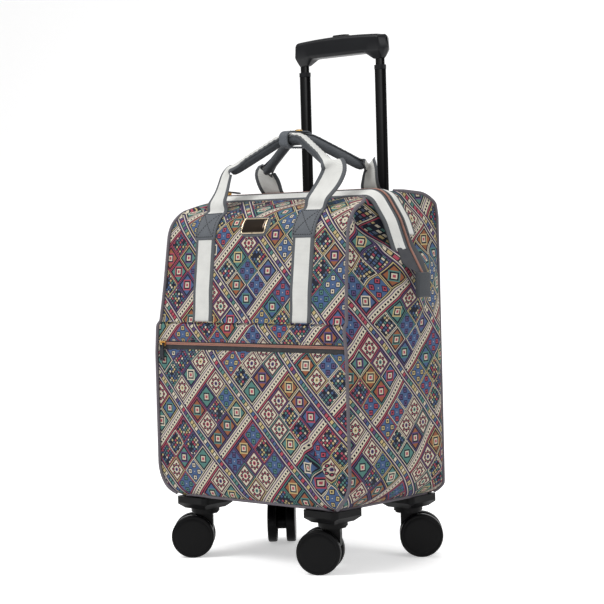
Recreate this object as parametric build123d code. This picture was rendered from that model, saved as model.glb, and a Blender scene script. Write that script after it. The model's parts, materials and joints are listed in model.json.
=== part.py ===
"""Soft trolley bag on four twin-wheel casters, with a framed zip mouth and a telescopic handle.

Millimetres, +Z up, +X to the bag's right, -Y its front. The origin is on the floor, under the
middle of the bag. The casters and the handle are in the position in which the bag is shown.
"""
from build123d import *
import math
import os

# Bag body: floor to base seam, shoulders, and half widths at four heights
base_z = 85.0
side_half = 177.5
waist_z, waist_half = 390.0, 169.5
chest_z, chest_half = 440.0, 168.0
crown_half = 160.0
side_top_z = 300.0
wall = 2.6
seam_lift = 0.4
front_y = 103.5
front_lean = 18.1
shoulder_z = 479.5
rear_y = 112.0
rear_top_z = 506.0
lower_corner_r, base_edge_r = 50.0, 18.0
front_shoulder_r, rear_shoulder_r = 60.0, 42.0
plan_front_r, plan_rear_r = 8.0, 40.0

# Front pocket
pocket_out = 6.0
pocket_top_z = 334.0
pocket_step = 5.0
pocket_zip_z = 303.0
zip_tape_w, zip_tape_t = 15.0, 1.2
coil_w, coil_t = 4.4, 1.6
slider_l, slider_w, slider_t, slider_lift = 11.0, 8.0, 2.2, 0.4
bail_rise, pull_pin_r, pull_reach, pull_droop = 1.4, 0.75, 17.0, 5.0
mouth_slider_x = 136.0
tape_depth = 0.3

# Zip mouth: a ridge that runs along the top and down both ends
mouth_z = 511.0
mouth_half = 158.0
leg_knee_x, leg_knee_z = 187.0, 470.0
leg_end_x, leg_end_z = 220.0, 394.0
mouth_r = 30.0
band_end_z = 424.0
band_w, band_t = 20.5, 2.0
zip_gap = 3.5
front_drop, rear_drop = 11.0, 2.5
tongue_w = 34.0
tab_w, tab_t, tab_h = 26.0, 7.0, 30.0
frame_wire_d = 4.0
ear_foot_x, ear_foot_z = 168.0, 240.0

# Webbing, handle patches and badge
webbing_w, webbing_t = 38.0, 1.6
strap_x = 92.0
patch_w, patch_h, patch_t = 41.0, 37.0, 1.6
patch_z = 465.0
rear_patch_y0 = 50.0
badge_w, badge_h, badge_z = 52.0, 23.0, 463.0
badge_rim = 3.0
badge_back_t, badge_plate_t = 1.2, 1.8

# Carry handles
grip_half, grip_flat = 96.0, 19.0
grip_low_z, grip_high_z = 541.0, 584.0
grip_low_y, grip_high_y = 38.0, 10.2
grip_w, grip_h = 15.0, 12.0
top_strip_w = 13.0
top_play = 0.05
wrap_len, wrap_t = 30.0, 2.2
snap_r, snap_t, snap_x = 5.5, 2.0, 5.0
grip_bend_r, riser_turn = 30.0, 40.0

# Piping
cord_d = 4.6
ring_half_x, ring_front_y, ring_rear_y, ring_r = 147.0, 105.6, 106.0, 24.0

# Trolley handle
tube_pitch = 142.6
tube_y = 102.4
outer_w, outer_d, outer_wall = 20.6, 12.6, 1.2
slide_gap = 0.3
mid_w, mid_d, mid_wall = outer_w - 2 * (outer_wall + slide_gap), outer_d - 2 * (outer_wall + slide_gap), 1.2
inner_w, inner_d, inner_wall = mid_w - 2 * (mid_wall + slide_gap), mid_d - 2 * (mid_wall + slide_gap), 1.2
tube_r = 3.6
foot_h = 20.0
rim_lip, seat_gap = 0.1, 0.3
outer_z0, outer_z1 = 101.0, 484.0
mid_len, rim_z, rim_h = 376.0, 688.0, 6.0
inner_z0 = 314.0
bar_half, bar_mid_half, bar_d = 82.0, 87.0, 25.0
bar_top_z, bar_arch, bar_under_z = 731.0, 3.0, 706.0
neck_z, neck_w, neck_d = 697.0, 17.5, 9.5
knee_in = 50.0
socket_depth = 22.0
button_w, button_d, button_proud, button_travel = 28.0, 12.0, 2.5, 3.0
housing_half, housing_flange = 88.0, 2.0
housing_y0, housing_z0 = 90.5, 466.0
board_t = 3.0

# Casters
caster_x, caster_y = 120.0, 80.0
swivel_z = 64.0
mount_w, mount_r, mount_wall_z, mount_neck_z = 60.0, 9.0, 77.5, 69.0
mount_top_z = base_z + 1.2
boss_d = 40.0
king_d, king_len = 8.0, 17.0
wheel_d, wheel_w = 60.0, 14.0
rim_bevel = 3.0
trail = 17.5
fork_w, fork_back, fork_nose_r = 15.4, 10.8, 11.0
pad_d, pad_t = 36.0, 2.2
axle_d = 6.0
run_gap = 0.3
pin_gap = 0.05
screw_d, screw_head_d, screw_head_t, screw_at = 3.0, 7.0, 2.0, 12.5
screw_in_x, screw_in_y = 6.0, 5.0
rest_trail = {"fl": 221.0, "fr": 211.0, "rl": 310.0, "rr": 40.0}

nodes = {}


def outline(points, radii):
    """A flat face with the given corners, each rounded by its own radius."""
    return make_face(FilletPolyline(*points, radius=radii, close=True))


def mirror_points(points, radii):
    """Corner list of the right half, from the bottom up, completed by its mirror image."""
    left = [(-x, z) for x, z in reversed(points)]
    return points + left, radii + list(reversed(radii))


def along_x(face, low, high):
    """A profile drawn in Y and Z, made solid between two values of X."""
    return extrude(Plane((low, 0, 0), x_dir=(0, 1, 0), z_dir=(1, 0, 0)) * face, high - low)


def along_y(face, low, high):
    """A profile drawn in X and Z, made solid between two values of Y."""
    return extrude(Plane((0, high, 0), x_dir=(1, 0, 0), z_dir=(0, -1, 0)) * face, high - low)


def along_z(face, low, high):
    """A profile drawn in X and Y, made solid between two values of Z."""
    return extrude(Plane((0, 0, low)) * face, high - low)


def block(x0, x1, y0, y1, z0, z1):
    """A box between given corners."""
    return Pos((x0 + x1) / 2, (y0 + y1) / 2, (z0 + z1) / 2) * Box(x1 - x0, y1 - y0, z1 - z0)


def shift(points, distance):
    """An open line of corners, moved sideways to its right by a distance."""
    lines = []
    for (ax, ay), (bx, by) in zip(points, points[1:]):
        length = math.hypot(bx - ax, by - ay)
        nx, ny = (by - ay) / length * distance, (ax - bx) / length * distance
        lines.append(((ax + nx, ay + ny), (bx + nx, by + ny)))
    moved = [lines[0][0]]
    for ((ax, ay), (bx, by)), ((cx, cy), (dx, dy)) in zip(lines, lines[1:]):
        cross = (bx - ax) * (dy - cy) - (by - ay) * (dx - cx)
        t = ((cx - ax) * (dy - cy) - (cy - ay) * (dx - cx)) / cross
        moved.append((ax + t * (bx - ax), ay + t * (by - ay)))
    return moved + [lines[-1][1]]


def slab(points, low, high, radius):
    """The strip between two sideways copies of an open line, as a flat face."""
    inner_line, outer_line = shift(points, high), shift(points, low)
    middle = len(points) - 2
    radii = [0] + [max(radius - low, 1)] * middle + [0, 0] + [max(radius - high, 1)] * middle + [0]
    return outline(outer_line + inner_line[::-1], radii)


def inset(face, distance):
    """A face made smaller all round, or larger where the distance is negative."""
    return offset(face, -distance, kind=Kind.INTERSECTION) if distance else face


# Profiles of the bag body
front_pocket_y = -(front_y + pocket_out)
side_profile = outline(
    [(front_pocket_y, base_z), (front_pocket_y, pocket_top_z - pocket_step), (-front_y, pocket_top_z),
     (-front_y + front_lean, shoulder_z), (-(zip_gap + band_w), mouth_z - front_drop),
     (zip_gap + band_w, mouth_z - rear_drop), (rear_y, rear_top_z), (rear_y, base_z)],
    [base_edge_r, 0, 0, front_shoulder_r, 0, 0, rear_shoulder_r, base_edge_r])
front_profile = outline(*mirror_points(
    [(side_half, base_z), (side_half, side_top_z), (waist_half, waist_z), (chest_half, chest_z),
     (crown_half, mouth_z - front_drop), (crown_half, mouth_z + 20)],
    [lower_corner_r, 0, 0, 0, 0, 0]))
plan_profile = outline(
    [(side_half, front_pocket_y), (side_half, rear_y), (-side_half, rear_y), (-side_half, front_pocket_y)],
    [plan_front_r, plan_rear_r, plan_rear_r, plan_front_r])


def trunk(depth):
    """The bag's body without its ears, with every surface moved inwards by a depth."""
    return (along_x(inset(side_profile, depth), -260, 260)
            & along_y(inset(front_profile, depth), -200, 200)
            & along_z(inset(plan_profile, depth), 0, 600))


# The zip's ridge line, from the bag's left end over the top to its right end
ridge = [(-leg_end_x, leg_end_z), (-leg_knee_x, leg_knee_z), (-mouth_half, mouth_z),
         (mouth_half, mouth_z), (leg_knee_x, leg_knee_z), (leg_end_x, leg_end_z)]
leg_slope = (leg_end_x - leg_knee_x) / (leg_knee_z - leg_end_z)
band_end_x = leg_knee_x + leg_slope * (leg_knee_z - band_end_z)
band_line = [(-band_end_x, band_end_z)] + ridge[1:-1] + [(band_end_x, band_end_z)]
band_edge_y = zip_gap + band_w


def ear_outline(drop):
    """One ear seen from the front, below the band's edge."""
    edge = shift(band_line, drop)[3:]
    return outline([(130, edge[0][1])] + edge + [(ear_foot_x, ear_foot_z), (130, ear_foot_z)],
                   [0, mouth_r - drop, mouth_r - drop, 0, 0, 0])


def ear_half(drop, root, side, depth):
    """Half of one ear: the part before or behind the zip, widening towards its root."""
    root_x, root_y = root
    reach = ear_foot_x + 30
    edge_y = side * band_edge_y
    wedge = outline([(130, 0), (reach, 0), (reach, edge_y), (band_end_x - drop, edge_y),
                     (root_x, side * root_y), (130, side * root_y)], [0] * 6)
    low, high = sorted((0, side * (root_y + 5)))
    return (along_y(inset(ear_outline(drop), depth), low, high) & along_z(inset(wedge, depth), 0, 600)
            & along_x(inset(side_profile, depth), 0, 260))


def bag_form(depth):
    """Body and ears as one solid, inset by a depth."""
    right = (ear_half(front_drop, (crown_half + 2, 60), -1, depth)
             + ear_half(rear_drop, (chest_half + 1, 96), 1, depth))
    return trunk(depth) + right + mirror(right, Plane.YZ)


def skin(low, high):
    """The layer between two distances outside the body."""
    return trunk(-high) - trunk(-low)


# Panels of the bag
full = bag_form(0)
body = trunk(0)
shell = full - bag_form(wall)
inside_sides = along_y(inset(front_profile, wall), -200, 200)
slot = along_y(slab(band_line, -6, front_drop + wall + 0.4, mouth_r), -band_edge_y, band_edge_y)
floor_slab = block(-260, 260, -200, 200, base_z - 5, base_z + wall + seam_lift)
upper = shell - floor_slab - slot
nodes["base_panel"] = shell & floor_slab
nodes["side_gussets"] = upper - inside_sides
between = upper & inside_sides
pocket_top_plane = pocket_top_z - pocket_step - wall
housing_neck = block(-housing_half, housing_half, housing_y0, 200, housing_z0, 560)
nodes["rear_panel"] = (between & block(-260, 260, 0, 200, 0, 600)) - housing_neck

front_skin = between & block(-260, 260, -200, 0, 0, 600)
front_upper = front_skin & block(-260, 260, -200, 0, pocket_top_plane, 600)
liner_y = -front_y + 0.4
low_liner = block(-260, 260, liner_y, liner_y + wall, base_z + wall, pocket_top_plane) & trunk(wall)
high_liner = block(-260, 260, liner_y, liner_y + wall, pocket_top_plane, pocket_top_z + wall) & body
nodes["front_panel"] = front_upper + (low_liner + high_liner & inside_sides)
pocket = front_skin & block(-260, 260, -200, 0, 0, pocket_top_plane)
zip_half = side_half - wall - 2.0
pocket_slot = block(-zip_half, zip_half, front_pocket_y - 5, front_pocket_y + wall + 1,
                    pocket_zip_z - zip_tape_w / 2, pocket_zip_z + zip_tape_w / 2)
nodes["front_pocket"] = pocket - pocket_slot

# Front pocket zip
tape_front = front_pocket_y + 0.8
nodes["pocket_zip_tape"] = block(-zip_half, zip_half, tape_front, tape_front + zip_tape_t,
                                 pocket_zip_z - zip_tape_w / 2, pocket_zip_z + zip_tape_w / 2)
nodes["pocket_zip_coil"] = block(-zip_half, zip_half, tape_front - coil_t, tape_front,
                                 pocket_zip_z - coil_w / 2, pocket_zip_z + coil_w / 2)


def zip_slider():
    """Slider body with a tunnel for the coil and a bail for the pull; coil along X, outside up."""
    length, width, height = slider_l, slider_w, slider_t
    lift = coil_t + slider_lift
    plan = outline([(-length / 2, -width / 2), (length / 2, -width / 2 + 1.2), (length / 2, width / 2 - 1.2),
                    (-length / 2, width / 2)], [1.5, 1.0, 1.0, 1.5])
    cap = Pos(0, 0, lift) * extrude(plan, height)
    side = block(-length / 2 + 1.5, length / 2 - 1.5, coil_w / 2 + 0.4, coil_w / 2 + 1.2, 0.35, lift)
    ring = Rot(0, 90, 0) * Cylinder(2.6, 2.6) & block(-5, 5, -5, 5, 0, 5)
    hole = Pos(0, 0, bail_rise) * Rot(0, 90, 0) * Cylinder(pull_pin_r + pin_gap, 6)
    return cap + side + mirror(side, Plane.XZ) + Pos(0, 0, lift + height) * (ring - hole)


def zip_pull(reach):
    """Pull that hangs from the bail: a stem loop and a flat tag, drawn hanging along -Y."""
    loop = Rot(0, 90, 0) * Cylinder(pull_pin_r, 6.4)
    arm = block(1.8, 3.2, -6.5, pull_pin_r, -pull_pin_r, pull_pin_r)
    neck = block(-3.2, 3.2, -8.0, -6.5, -pull_pin_r, pull_pin_r)
    tag = extrude(Pos(0, -8.0 - reach / 2 + 0.5, -0.9) * RectangleRounded(7.4, reach, 2.2), 1.8)
    hole = Pos(0, -8.0 - reach + 3.7, 0) * Cylinder(1.3, 6)
    return loop + arm + mirror(arm, Plane.YZ) + neck + tag - hole


pull_z = coil_t + slider_lift + slider_t + bail_rise
pocket_slider_x = -zip_half + 9.0
pocket_face = Plane((pocket_slider_x, tape_front, pocket_zip_z), x_dir=(1, 0, 0), z_dir=(0, -1, 0))
mouth_face = Plane((-mouth_slider_x, 0, mouth_z - tape_depth), x_dir=(1, 0, 0), z_dir=(0, 0, 1))
for name, plane in (("pocket_zip", pocket_face), ("mouth_zip", mouth_face)):
    nodes[name + "_slider"] = plane * zip_slider()
nodes["pocket_zip_pull"] = pocket_face * Pos(0, 0, pull_z) * zip_pull(pull_reach)
nodes["mouth_zip_pull"] = mouth_face * Pos(0, 0, pull_z) * Rot(-pull_droop, 0, 180) * zip_pull(pull_reach)


def band(drop, side):
    """Webbing band on one side of the zip: from the ridge down to its lower edge."""
    near = slab(band_line, 0, band_t, mouth_r)
    far = slab(band_line, drop, drop + band_t, mouth_r)
    planes = [Plane((0, side * y, 0), x_dir=(1, 0, 0), z_dir=(0, -1, 0)) for y in (zip_gap, band_edge_y)]
    return loft([planes[0] * near, planes[1] * far], ruled=True)


nodes["mouth_band_front"] = band(front_drop, -1)
nodes["mouth_band_rear"] = band(rear_drop, 1)
tape_strip = along_y(slab(ridge, tape_depth, tape_depth + zip_tape_t, mouth_r), -zip_gap, zip_gap)
bare_tape = math.hypot(leg_end_x - band_end_x, band_end_z - leg_end_z)
leg_angle = math.degrees(math.atan2(leg_knee_z - leg_end_z, leg_end_x - leg_knee_x))
leg_plane = Plane((leg_end_x, 0, leg_end_z), x_dir=(0, 1, 0),
                  z_dir=(math.sin(math.radians(leg_angle)), 0, math.cos(math.radians(leg_angle))))
tongue_shape = outline([(-tab_w / 2 + 1, 0), (tab_w / 2 - 1, 0), (tongue_w / 2, bare_tape * 0.55),
                        (zip_gap + 9, bare_tape - 0.4), (-zip_gap - 9, bare_tape - 0.4),
                        (-tongue_w / 2, bare_tape * 0.55)], [0, 0, 6, 0, 0, 6])
tongue = leg_plane * Pos(0, 0, -tape_depth - zip_tape_t) * extrude(tongue_shape, zip_tape_t)
nodes["mouth_zip_tape"] = tape_strip + tongue + mirror(tongue, Plane.YZ)
coil_slab = slab(ridge, tape_depth - coil_t, tape_depth, mouth_r)
nodes["mouth_zip_coil"] = along_y(coil_slab, -coil_w / 2, coil_w / 2)
tab_x = leg_end_x - 1
tab = block(tab_x - tab_t / 2, tab_x + tab_t / 2, -tab_w / 2, tab_w / 2, leg_end_z - tab_h, leg_end_z + 3)
tab = fillet(tab.edges().filter_by(Axis.X), 3.0)
tab -= along_y(slab(ridge, tape_depth - coil_t - 0.1, tape_depth + zip_tape_t + 0.1, mouth_r), -tab_w, tab_w)
tab_solid = tab.solids().sort_by(SortBy.VOLUME)[-1]
nodes["zip_end_tabs"] = [tab_solid, mirror(tab_solid, Plane.YZ)]
wire_drop = front_drop * 0.6 + band_t + frame_wire_d / 2 + 0.4
wire_line = shift(band_line, wire_drop)
wire_y = zip_gap + band_w * 0.5
wires = []
for side in (-1, 1):
    path = FilletPolyline(*[(x, side * wire_y, z) for x, z in wire_line], radius=mouth_r - 14)
    wires.append(sweep(Plane(path @ 0, z_dir=path % 0) * RegularPolygon(frame_wire_d / 2, 8), path))
nodes["mouth_frame_wires"] = wires

# Piping along the front and rear seams and round the base
cord = cord_d / 2
cord_skin = skin(0, cord)
off_sides = along_y(inset(front_profile, cord), -200, 200)
off_faces = along_x(inset(side_profile, cord), -260, 260)
ring_plan = outline([(ring_half_x, -ring_front_y), (ring_half_x, ring_rear_y),
                     (-ring_half_x, ring_rear_y), (-ring_half_x, -ring_front_y)], [ring_r] * 4)
ring_band = along_z(ring_plan - inset(ring_plan, cord_d), 60, 120)
nodes["base_piping"] = cord_skin & ring_band
seam_cord = cord_skin - off_sides - off_faces - full - ring_band - along_z(inset(ring_plan, cord), 60, 120)
front_cord = seam_cord & block(-260, 260, -200, -30, 0, 600)
rear_cord = seam_cord & block(-260, 260, 60, 200, 0, 600)
nodes["panel_piping"] = [s for cords in (front_cord, rear_cord)
                         for s in cords.solids().sort_by(SortBy.VOLUME)[-2:]]

# Webbing straps, patches and badge lie on the front panel
strap_skin = skin(0, webbing_t)
patch_skin = skin(webbing_t, webbing_t + patch_t)
patch_low, patch_high = patch_z - patch_h / 2, patch_z + patch_h / 2
rear_patch_y1 = rear_patch_y0 + patch_h


def pair(part):
    """A piece and its mirror image on the other side of the bag."""
    return [part, mirror(part, Plane.YZ)]


strap_x0, strap_x1 = strap_x - webbing_w / 2, strap_x + webbing_w / 2
front_strip = block(strap_x0, strap_x1, -200, 0, pocket_top_z + 0.5, patch_low + 2)
nodes["front_straps"] = pair(strap_skin & front_strip)
patch_shape = Pos(strap_x, patch_z) * RectangleRounded(patch_w, patch_h, 3)
front_patch = patch_skin & along_y(patch_shape, -200, -20)
rear_shape = Pos(strap_x, rear_patch_y0 + patch_h / 2) * RectangleRounded(patch_w, patch_h, 3)
rear_patch = patch_skin & along_z(rear_shape, 400, 600)
nodes["handle_patches"] = pair(front_patch) + pair(rear_patch)
badge_shape = Pos(0, badge_z) * RectangleRounded(badge_w, badge_h, 8)
plate_shape = Pos(0, badge_z) * RectangleRounded(badge_w - 2 * badge_rim, badge_h - 2 * badge_rim, 6)
nodes["badge_backing"] = skin(0, badge_back_t) & along_y(badge_shape, -200, -20)
nodes["badge_plate"] = skin(badge_back_t, badge_back_t + badge_plate_t) & along_y(plate_shape, -200, -20)

# Carry handles: a leaning plane holds the grip; webbing risers join it to the patches
rise, lean = grip_high_z - grip_low_z, grip_low_y - grip_high_y
slope_len = math.hypot(rise, lean)
grip_line = [(-grip_half, 0), (-grip_flat, slope_len), (grip_flat, slope_len), (grip_half, 0)]
strip_up = grip_h / 2 + webbing_t / 2 + top_play


def round_centre(start, corner, end, radius):
    """Centre of the arc that rounds a corner between two straight runs."""
    corner, start, end = Vector(*corner), Vector(*start), Vector(*end)
    to_start, to_end = (start - corner).normalized(), (end - corner).normalized()
    half = math.radians(to_start.get_angle(to_end) / 2)
    return corner + (to_start + to_end).normalized() * (radius / math.sin(half))


def handle(side, foot, leave):
    """Grip and webbing of one handle, from the foot of its right riser and its direction there."""
    def at(point):
        across, up = point
        return Vector(across, side * (grip_low_y - lean * up / slope_len), grip_low_z + rise * up / slope_len)

    thick = Vector(0, rise, side * lean).normalized()
    path = FilletPolyline(*[at(p) for p in grip_line], radius=grip_bend_r)
    section = Rectangle(grip_w, grip_h)
    section = chamfer(section.vertices(), grip_h * 0.3)
    grip = sweep(Plane(path @ 0, x_dir=thick, z_dir=path % 0) * section, path)
    strip_line = shift(grip_line, -strip_up)
    path = FilletPolyline(*[at(p) for p in strip_line], radius=grip_bend_r + strip_up)
    strap = sweep(Plane(path @ 0, x_dir=thick, z_dir=path % 0) * Rectangle(top_strip_w, webbing_t), path)
    end = at(strip_line[-1])
    run = (end - foot).normalized()
    sections = []
    for share, width_share, turn_share in ((0, 1, 0), (0.55, 0.9, 0.7), (1.04, 0.6, 1)):
        width, turn = webbing_w * width_share, riser_turn * turn_share
        across = Vector(math.cos(math.radians(turn)), side * -math.sin(math.radians(turn)), 0)
        along = (leave.normalized() * (1 - share) + run * share).normalized()
        across = (across - along * across.dot(along)).normalized()
        place = Plane(foot + (end - foot) * share, x_dir=across, z_dir=along)
        sections.append(place * Rectangle(width, webbing_t))
    riser = loft(sections, ruled=True)
    strap += riser + mirror(riser, Plane.YZ)
    return grip, strap


front_arc = round_centre((-front_y, pocket_top_z), (-front_y + front_lean, shoulder_z),
                         (-band_edge_y, mouth_z - front_drop), front_shoulder_r)
foot_z = patch_high + 0.3
foot_r = front_shoulder_r + webbing_t / 2
foot_y = front_arc.X - math.sqrt(foot_r ** 2 - (foot_z - front_arc.Y) ** 2)
foot_leave = Vector(0, foot_z - front_arc.Y, front_arc.X - foot_y)
front_grip, front_strap = handle(-1, Vector(strap_x, foot_y, foot_z), foot_leave)
front_root = strap_skin & block(strap_x0, strap_x1, -200, 0, patch_low + 2.5, patch_high + 0.8)
front_strap += front_root + mirror(front_root, Plane.YZ)

rear_slope = (rear_drop - (mouth_z - rear_top_z)) / (rear_y - band_edge_y)
rear_foot_y = rear_patch_y0 - 1.5
rear_foot_z = mouth_z - rear_drop + rear_slope * (rear_foot_y - band_edge_y) + webbing_t / 2
rear_grip, rear_strap = handle(1, Vector(strap_x, rear_foot_y, rear_foot_z), Vector(0, -1, 0.7))
rear_root = strap_skin & block(strap_x0, strap_x1, rear_foot_y - 0.6, rear_patch_y1 - 2, 400, 600)
rear_strap += rear_root + mirror(rear_root, Plane.YZ)
nodes["front_handle_grip"], nodes["front_handle_strap"] = front_grip, front_strap - front_grip
nodes["rear_handle_grip"], nodes["rear_handle_strap"] = rear_grip, rear_strap - rear_grip

# Wrap with its snap holds the two grips together
tilt = math.atan2(lean, rise)
half_high = (grip_w * math.sin(tilt) + grip_h * math.cos(tilt)) / 2
half_deep = grip_high_y + (grip_w * math.cos(tilt) + grip_h * math.sin(tilt)) / 2
strip_top = strip_up * math.cos(tilt) + (top_strip_w * math.sin(tilt) + webbing_t * math.cos(tilt)) / 2
wrap_low, wrap_high = grip_high_z - half_high - 0.3, grip_high_z + strip_top + 0.3
wrap_mid = (wrap_low + wrap_high) / 2
wrap_plan = Pos(0, wrap_mid) * RectangleRounded(2 * half_deep + 0.6, wrap_high - wrap_low, 8)
wrap_ring = inset(wrap_plan, -wrap_t) - wrap_plan
nodes["handle_wrap"] = along_x(wrap_ring, -wrap_len / 2, wrap_len / 2)
snap = along_z(Circle(snap_r), wrap_high + wrap_t, wrap_high + wrap_t + snap_t)
nodes["handle_snap"] = Pos(snap_x, 0, 0) * chamfer(snap.edges().group_by(Axis.Z)[-1], snap_t * 0.4)

# Stiffening boards inside the bag
inside = trunk(wall + 0.2)
board_z, board_top = base_z + wall, base_z + wall + board_t
back_board_y = tube_y - outer_d / 2 - 0.4
nodes["base_board"] = inside & block(-150, 150, -front_y + 6, rear_y - 22, board_z, board_top)
back_block = block(-150, 150, back_board_y - board_t, back_board_y, board_top, housing_z0 - 6)
nodes["back_board"] = inside & back_block

# Trolley tubes
tube_xs = (-tube_pitch / 2, tube_pitch / 2)


def tube(width, depth, thick, z0, z1, radius):
    """A flat-sided tube on the Z axis."""
    hole = RectangleRounded(width - 2 * thick, depth - 2 * thick, radius - thick * 0.8)
    return along_z(RectangleRounded(width, depth, radius) - hole, z0, z1)


def solid_tube(width, depth, z0, z1, radius):
    """A flat-sided bar on the Z axis, used to cut a tube's seat."""
    return along_z(RectangleRounded(width, depth, radius), z0, z1)


def both_tubes(part):
    """A piece repeated on the two tube lines."""
    return [Pos(x, tube_y, 0) * part for x in tube_xs]


nodes["outer_tubes"] = both_tubes(tube(outer_w, outer_d, outer_wall, outer_z0, outer_z1, tube_r + 1.5))
nodes["mid_tubes"] = both_tubes(tube(mid_w, mid_d, mid_wall, rim_z - mid_len, rim_z - rim_h, tube_r))
rim = solid_tube(mid_w + 2 * rim_lip, mid_d + 2 * rim_lip, rim_z - rim_h, rim_z, tube_r + rim_lip)
bore_w, bore_d = inner_w + 2 * slide_gap, inner_d + 2 * slide_gap
rim -= solid_tube(bore_w, bore_d, rim_z - rim_h - 1, rim_z + 1, tube_r - 1.2)
nodes["mid_tube_collars"] = both_tubes(rim)
inner_z1 = neck_z + socket_depth
nodes["inner_tubes"] = both_tubes(tube(inner_w, inner_d, inner_wall, inner_z0, inner_z1, tube_r - 1.5))

foot_y0, foot_z0 = back_board_y + seat_gap, board_z + 0.2
foot = inside & block(-housing_half, housing_half, foot_y0, rear_y, foot_z0, board_z + foot_h)
for piece in both_tubes(solid_tube(outer_w + 0.1, outer_d + 0.1, outer_z0, 200, tube_r + 1.5)):
    foot -= piece
nodes["tube_foot_bracket"] = foot

neck_half = housing_half - seat_gap
neck_block = body & block(-neck_half, neck_half, housing_y0 + seat_gap, 200, housing_z0 + seat_gap, 560)
flange_half = housing_half + 5
flange = skin(0, housing_flange) & block(-flange_half, flange_half, housing_y0 - 3, 200, housing_z0 - 5, 560)
housing = neck_block + flange
for piece in both_tubes(solid_tube(outer_w + 0.1, outer_d + 0.1, 300, outer_z1, tube_r + 1.5)):
    housing -= piece
throat = solid_tube(mid_w + 2 * slide_gap, mid_d + 2 * slide_gap, 300, 600, tube_r + slide_gap)
for piece in both_tubes(throat):
    housing -= piece
nodes["tube_top_housing"] = housing

# Pull handle: moulded bar, tapering to each tube
tube_x = tube_pitch / 2
bar_front = outline(*mirror_points(
    [(knee_in, bar_under_z), (tube_x - neck_w / 2, neck_z), (tube_x + neck_w / 2, neck_z),
     (bar_mid_half, bar_top_z - 20), (bar_half + 1, bar_top_z)], [3, 0, 0, 6, 3]))
arch_z = bar_top_z - 4
arch = make_face(ThreePointArc((-bar_half, arch_z), (0, bar_top_z + bar_arch), (bar_half, arch_z))
                 + Line((bar_half, arch_z), (-bar_half, arch_z)))
bar_high_z = bar_top_z + bar_arch + 1
bar_side = outline([(-neck_d / 2, neck_z), (neck_d / 2, neck_z), (bar_d / 2, bar_under_z + 2),
                    (bar_d / 2, bar_high_z), (-bar_d / 2, bar_high_z), (-bar_d / 2, bar_under_z + 2)],
                   [0, 0, 5, 6, 6, 5])
bar_plan = outline([(bar_half, -bar_d / 2), (bar_mid_half, 0), (bar_half, bar_d / 2),
                    (-bar_half, bar_d / 2), (-bar_mid_half, 0), (-bar_half, -bar_d / 2)], [3, 4, 3, 3, 4, 3])
bar = along_y(bar_front + arch, -bar_d, bar_d) & along_x(bar_side, -100, 100)
bar = Pos(0, tube_y, 0) * (bar & along_z(bar_plan, neck_z - 5, bar_top_z + 20))
for piece in both_tubes(solid_tube(inner_w + 0.1, inner_d + 0.1, neck_z - 5, inner_z1, tube_r - 1.5)):
    bar -= piece
button_z = bar_top_z + bar_arch
pocket_plan = RectangleRounded(button_w + 2 * run_gap, button_d + 2 * run_gap, button_d / 2)
button_floor = button_z - 9.0
bar -= Pos(0, tube_y, 0) * along_z(pocket_plan, button_floor, button_z + 5)
nodes["grip_handle"] = bar
button_shape = RectangleRounded(button_w, button_d, button_d / 2 - run_gap)
button = along_z(button_shape, button_floor + button_travel + run_gap, button_z + button_proud)
button = chamfer(button.edges().group_by(Axis.Z)[-1], 0.8)
nodes["grip_button"] = Pos(0, tube_y, 0) * button

# Casters
corners = {"fl": (-caster_x, -caster_y), "fr": (caster_x, -caster_y),
           "rl": (-caster_x, caster_y), "rr": (caster_x, caster_y)}
wheel_in = fork_w / 2 + run_gap
wheel_z = wheel_d / 2
square = RectangleRounded(mount_w, mount_w, mount_r)
mount_body = along_z(square, mount_wall_z, mount_top_z)
slope_side = outline([(-boss_d / 2, mount_neck_z), (boss_d / 2, mount_neck_z), (mount_w / 2, mount_wall_z),
                      (-mount_w / 2, mount_wall_z)], [0] * 4)
slope = along_x(slope_side, -mount_w, mount_w) & along_y(slope_side, -mount_w, mount_w)
slope &= along_z(square, mount_neck_z, mount_wall_z)
boss = along_z(Circle(boss_d / 2), swivel_z, mount_neck_z + 1)
king_hole = along_z(Circle(king_d / 2 + pin_gap), swivel_z - 1, swivel_z + king_len + 0.5)
screw_spots = [(sx * screw_at, sy * screw_at) for sx in (-1, 1) for sy in (-1, 1)]
screw_z0 = mount_wall_z + 1.5
mount = mount_body + slope + boss - king_hole
hole = along_z(RegularPolygon(screw_d / 2 + pin_gap, 12), screw_z0, board_top + 1)
screw = along_z(RegularPolygon(screw_d / 2, 12), screw_z0 + 0.2, board_top)
screw += along_z(RegularPolygon(screw_head_d / 2, 6), board_top, board_top + screw_head_t)
screws = []
for name, (cx, cy) in corners.items():
    seat = Pos(cx, cy, 0) * mount - body - nodes["base_piping"] - seam_cord
    middle_x, middle_y = cx - math.copysign(screw_in_x, cx), cy - math.copysign(screw_in_y, cy)
    for dx, dy in screw_spots:
        spot = Pos(middle_x + dx, middle_y + dy, 0)
        seat -= spot * hole
        for target in ("base_panel", "base_board"):
            nodes[target] -= spot * hole
        screws.append(spot * screw)
    nodes["caster_mount_" + name] = seat.solids().sort_by(SortBy.VOLUME)[-1]
nodes["caster_screws"] = screws

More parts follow.
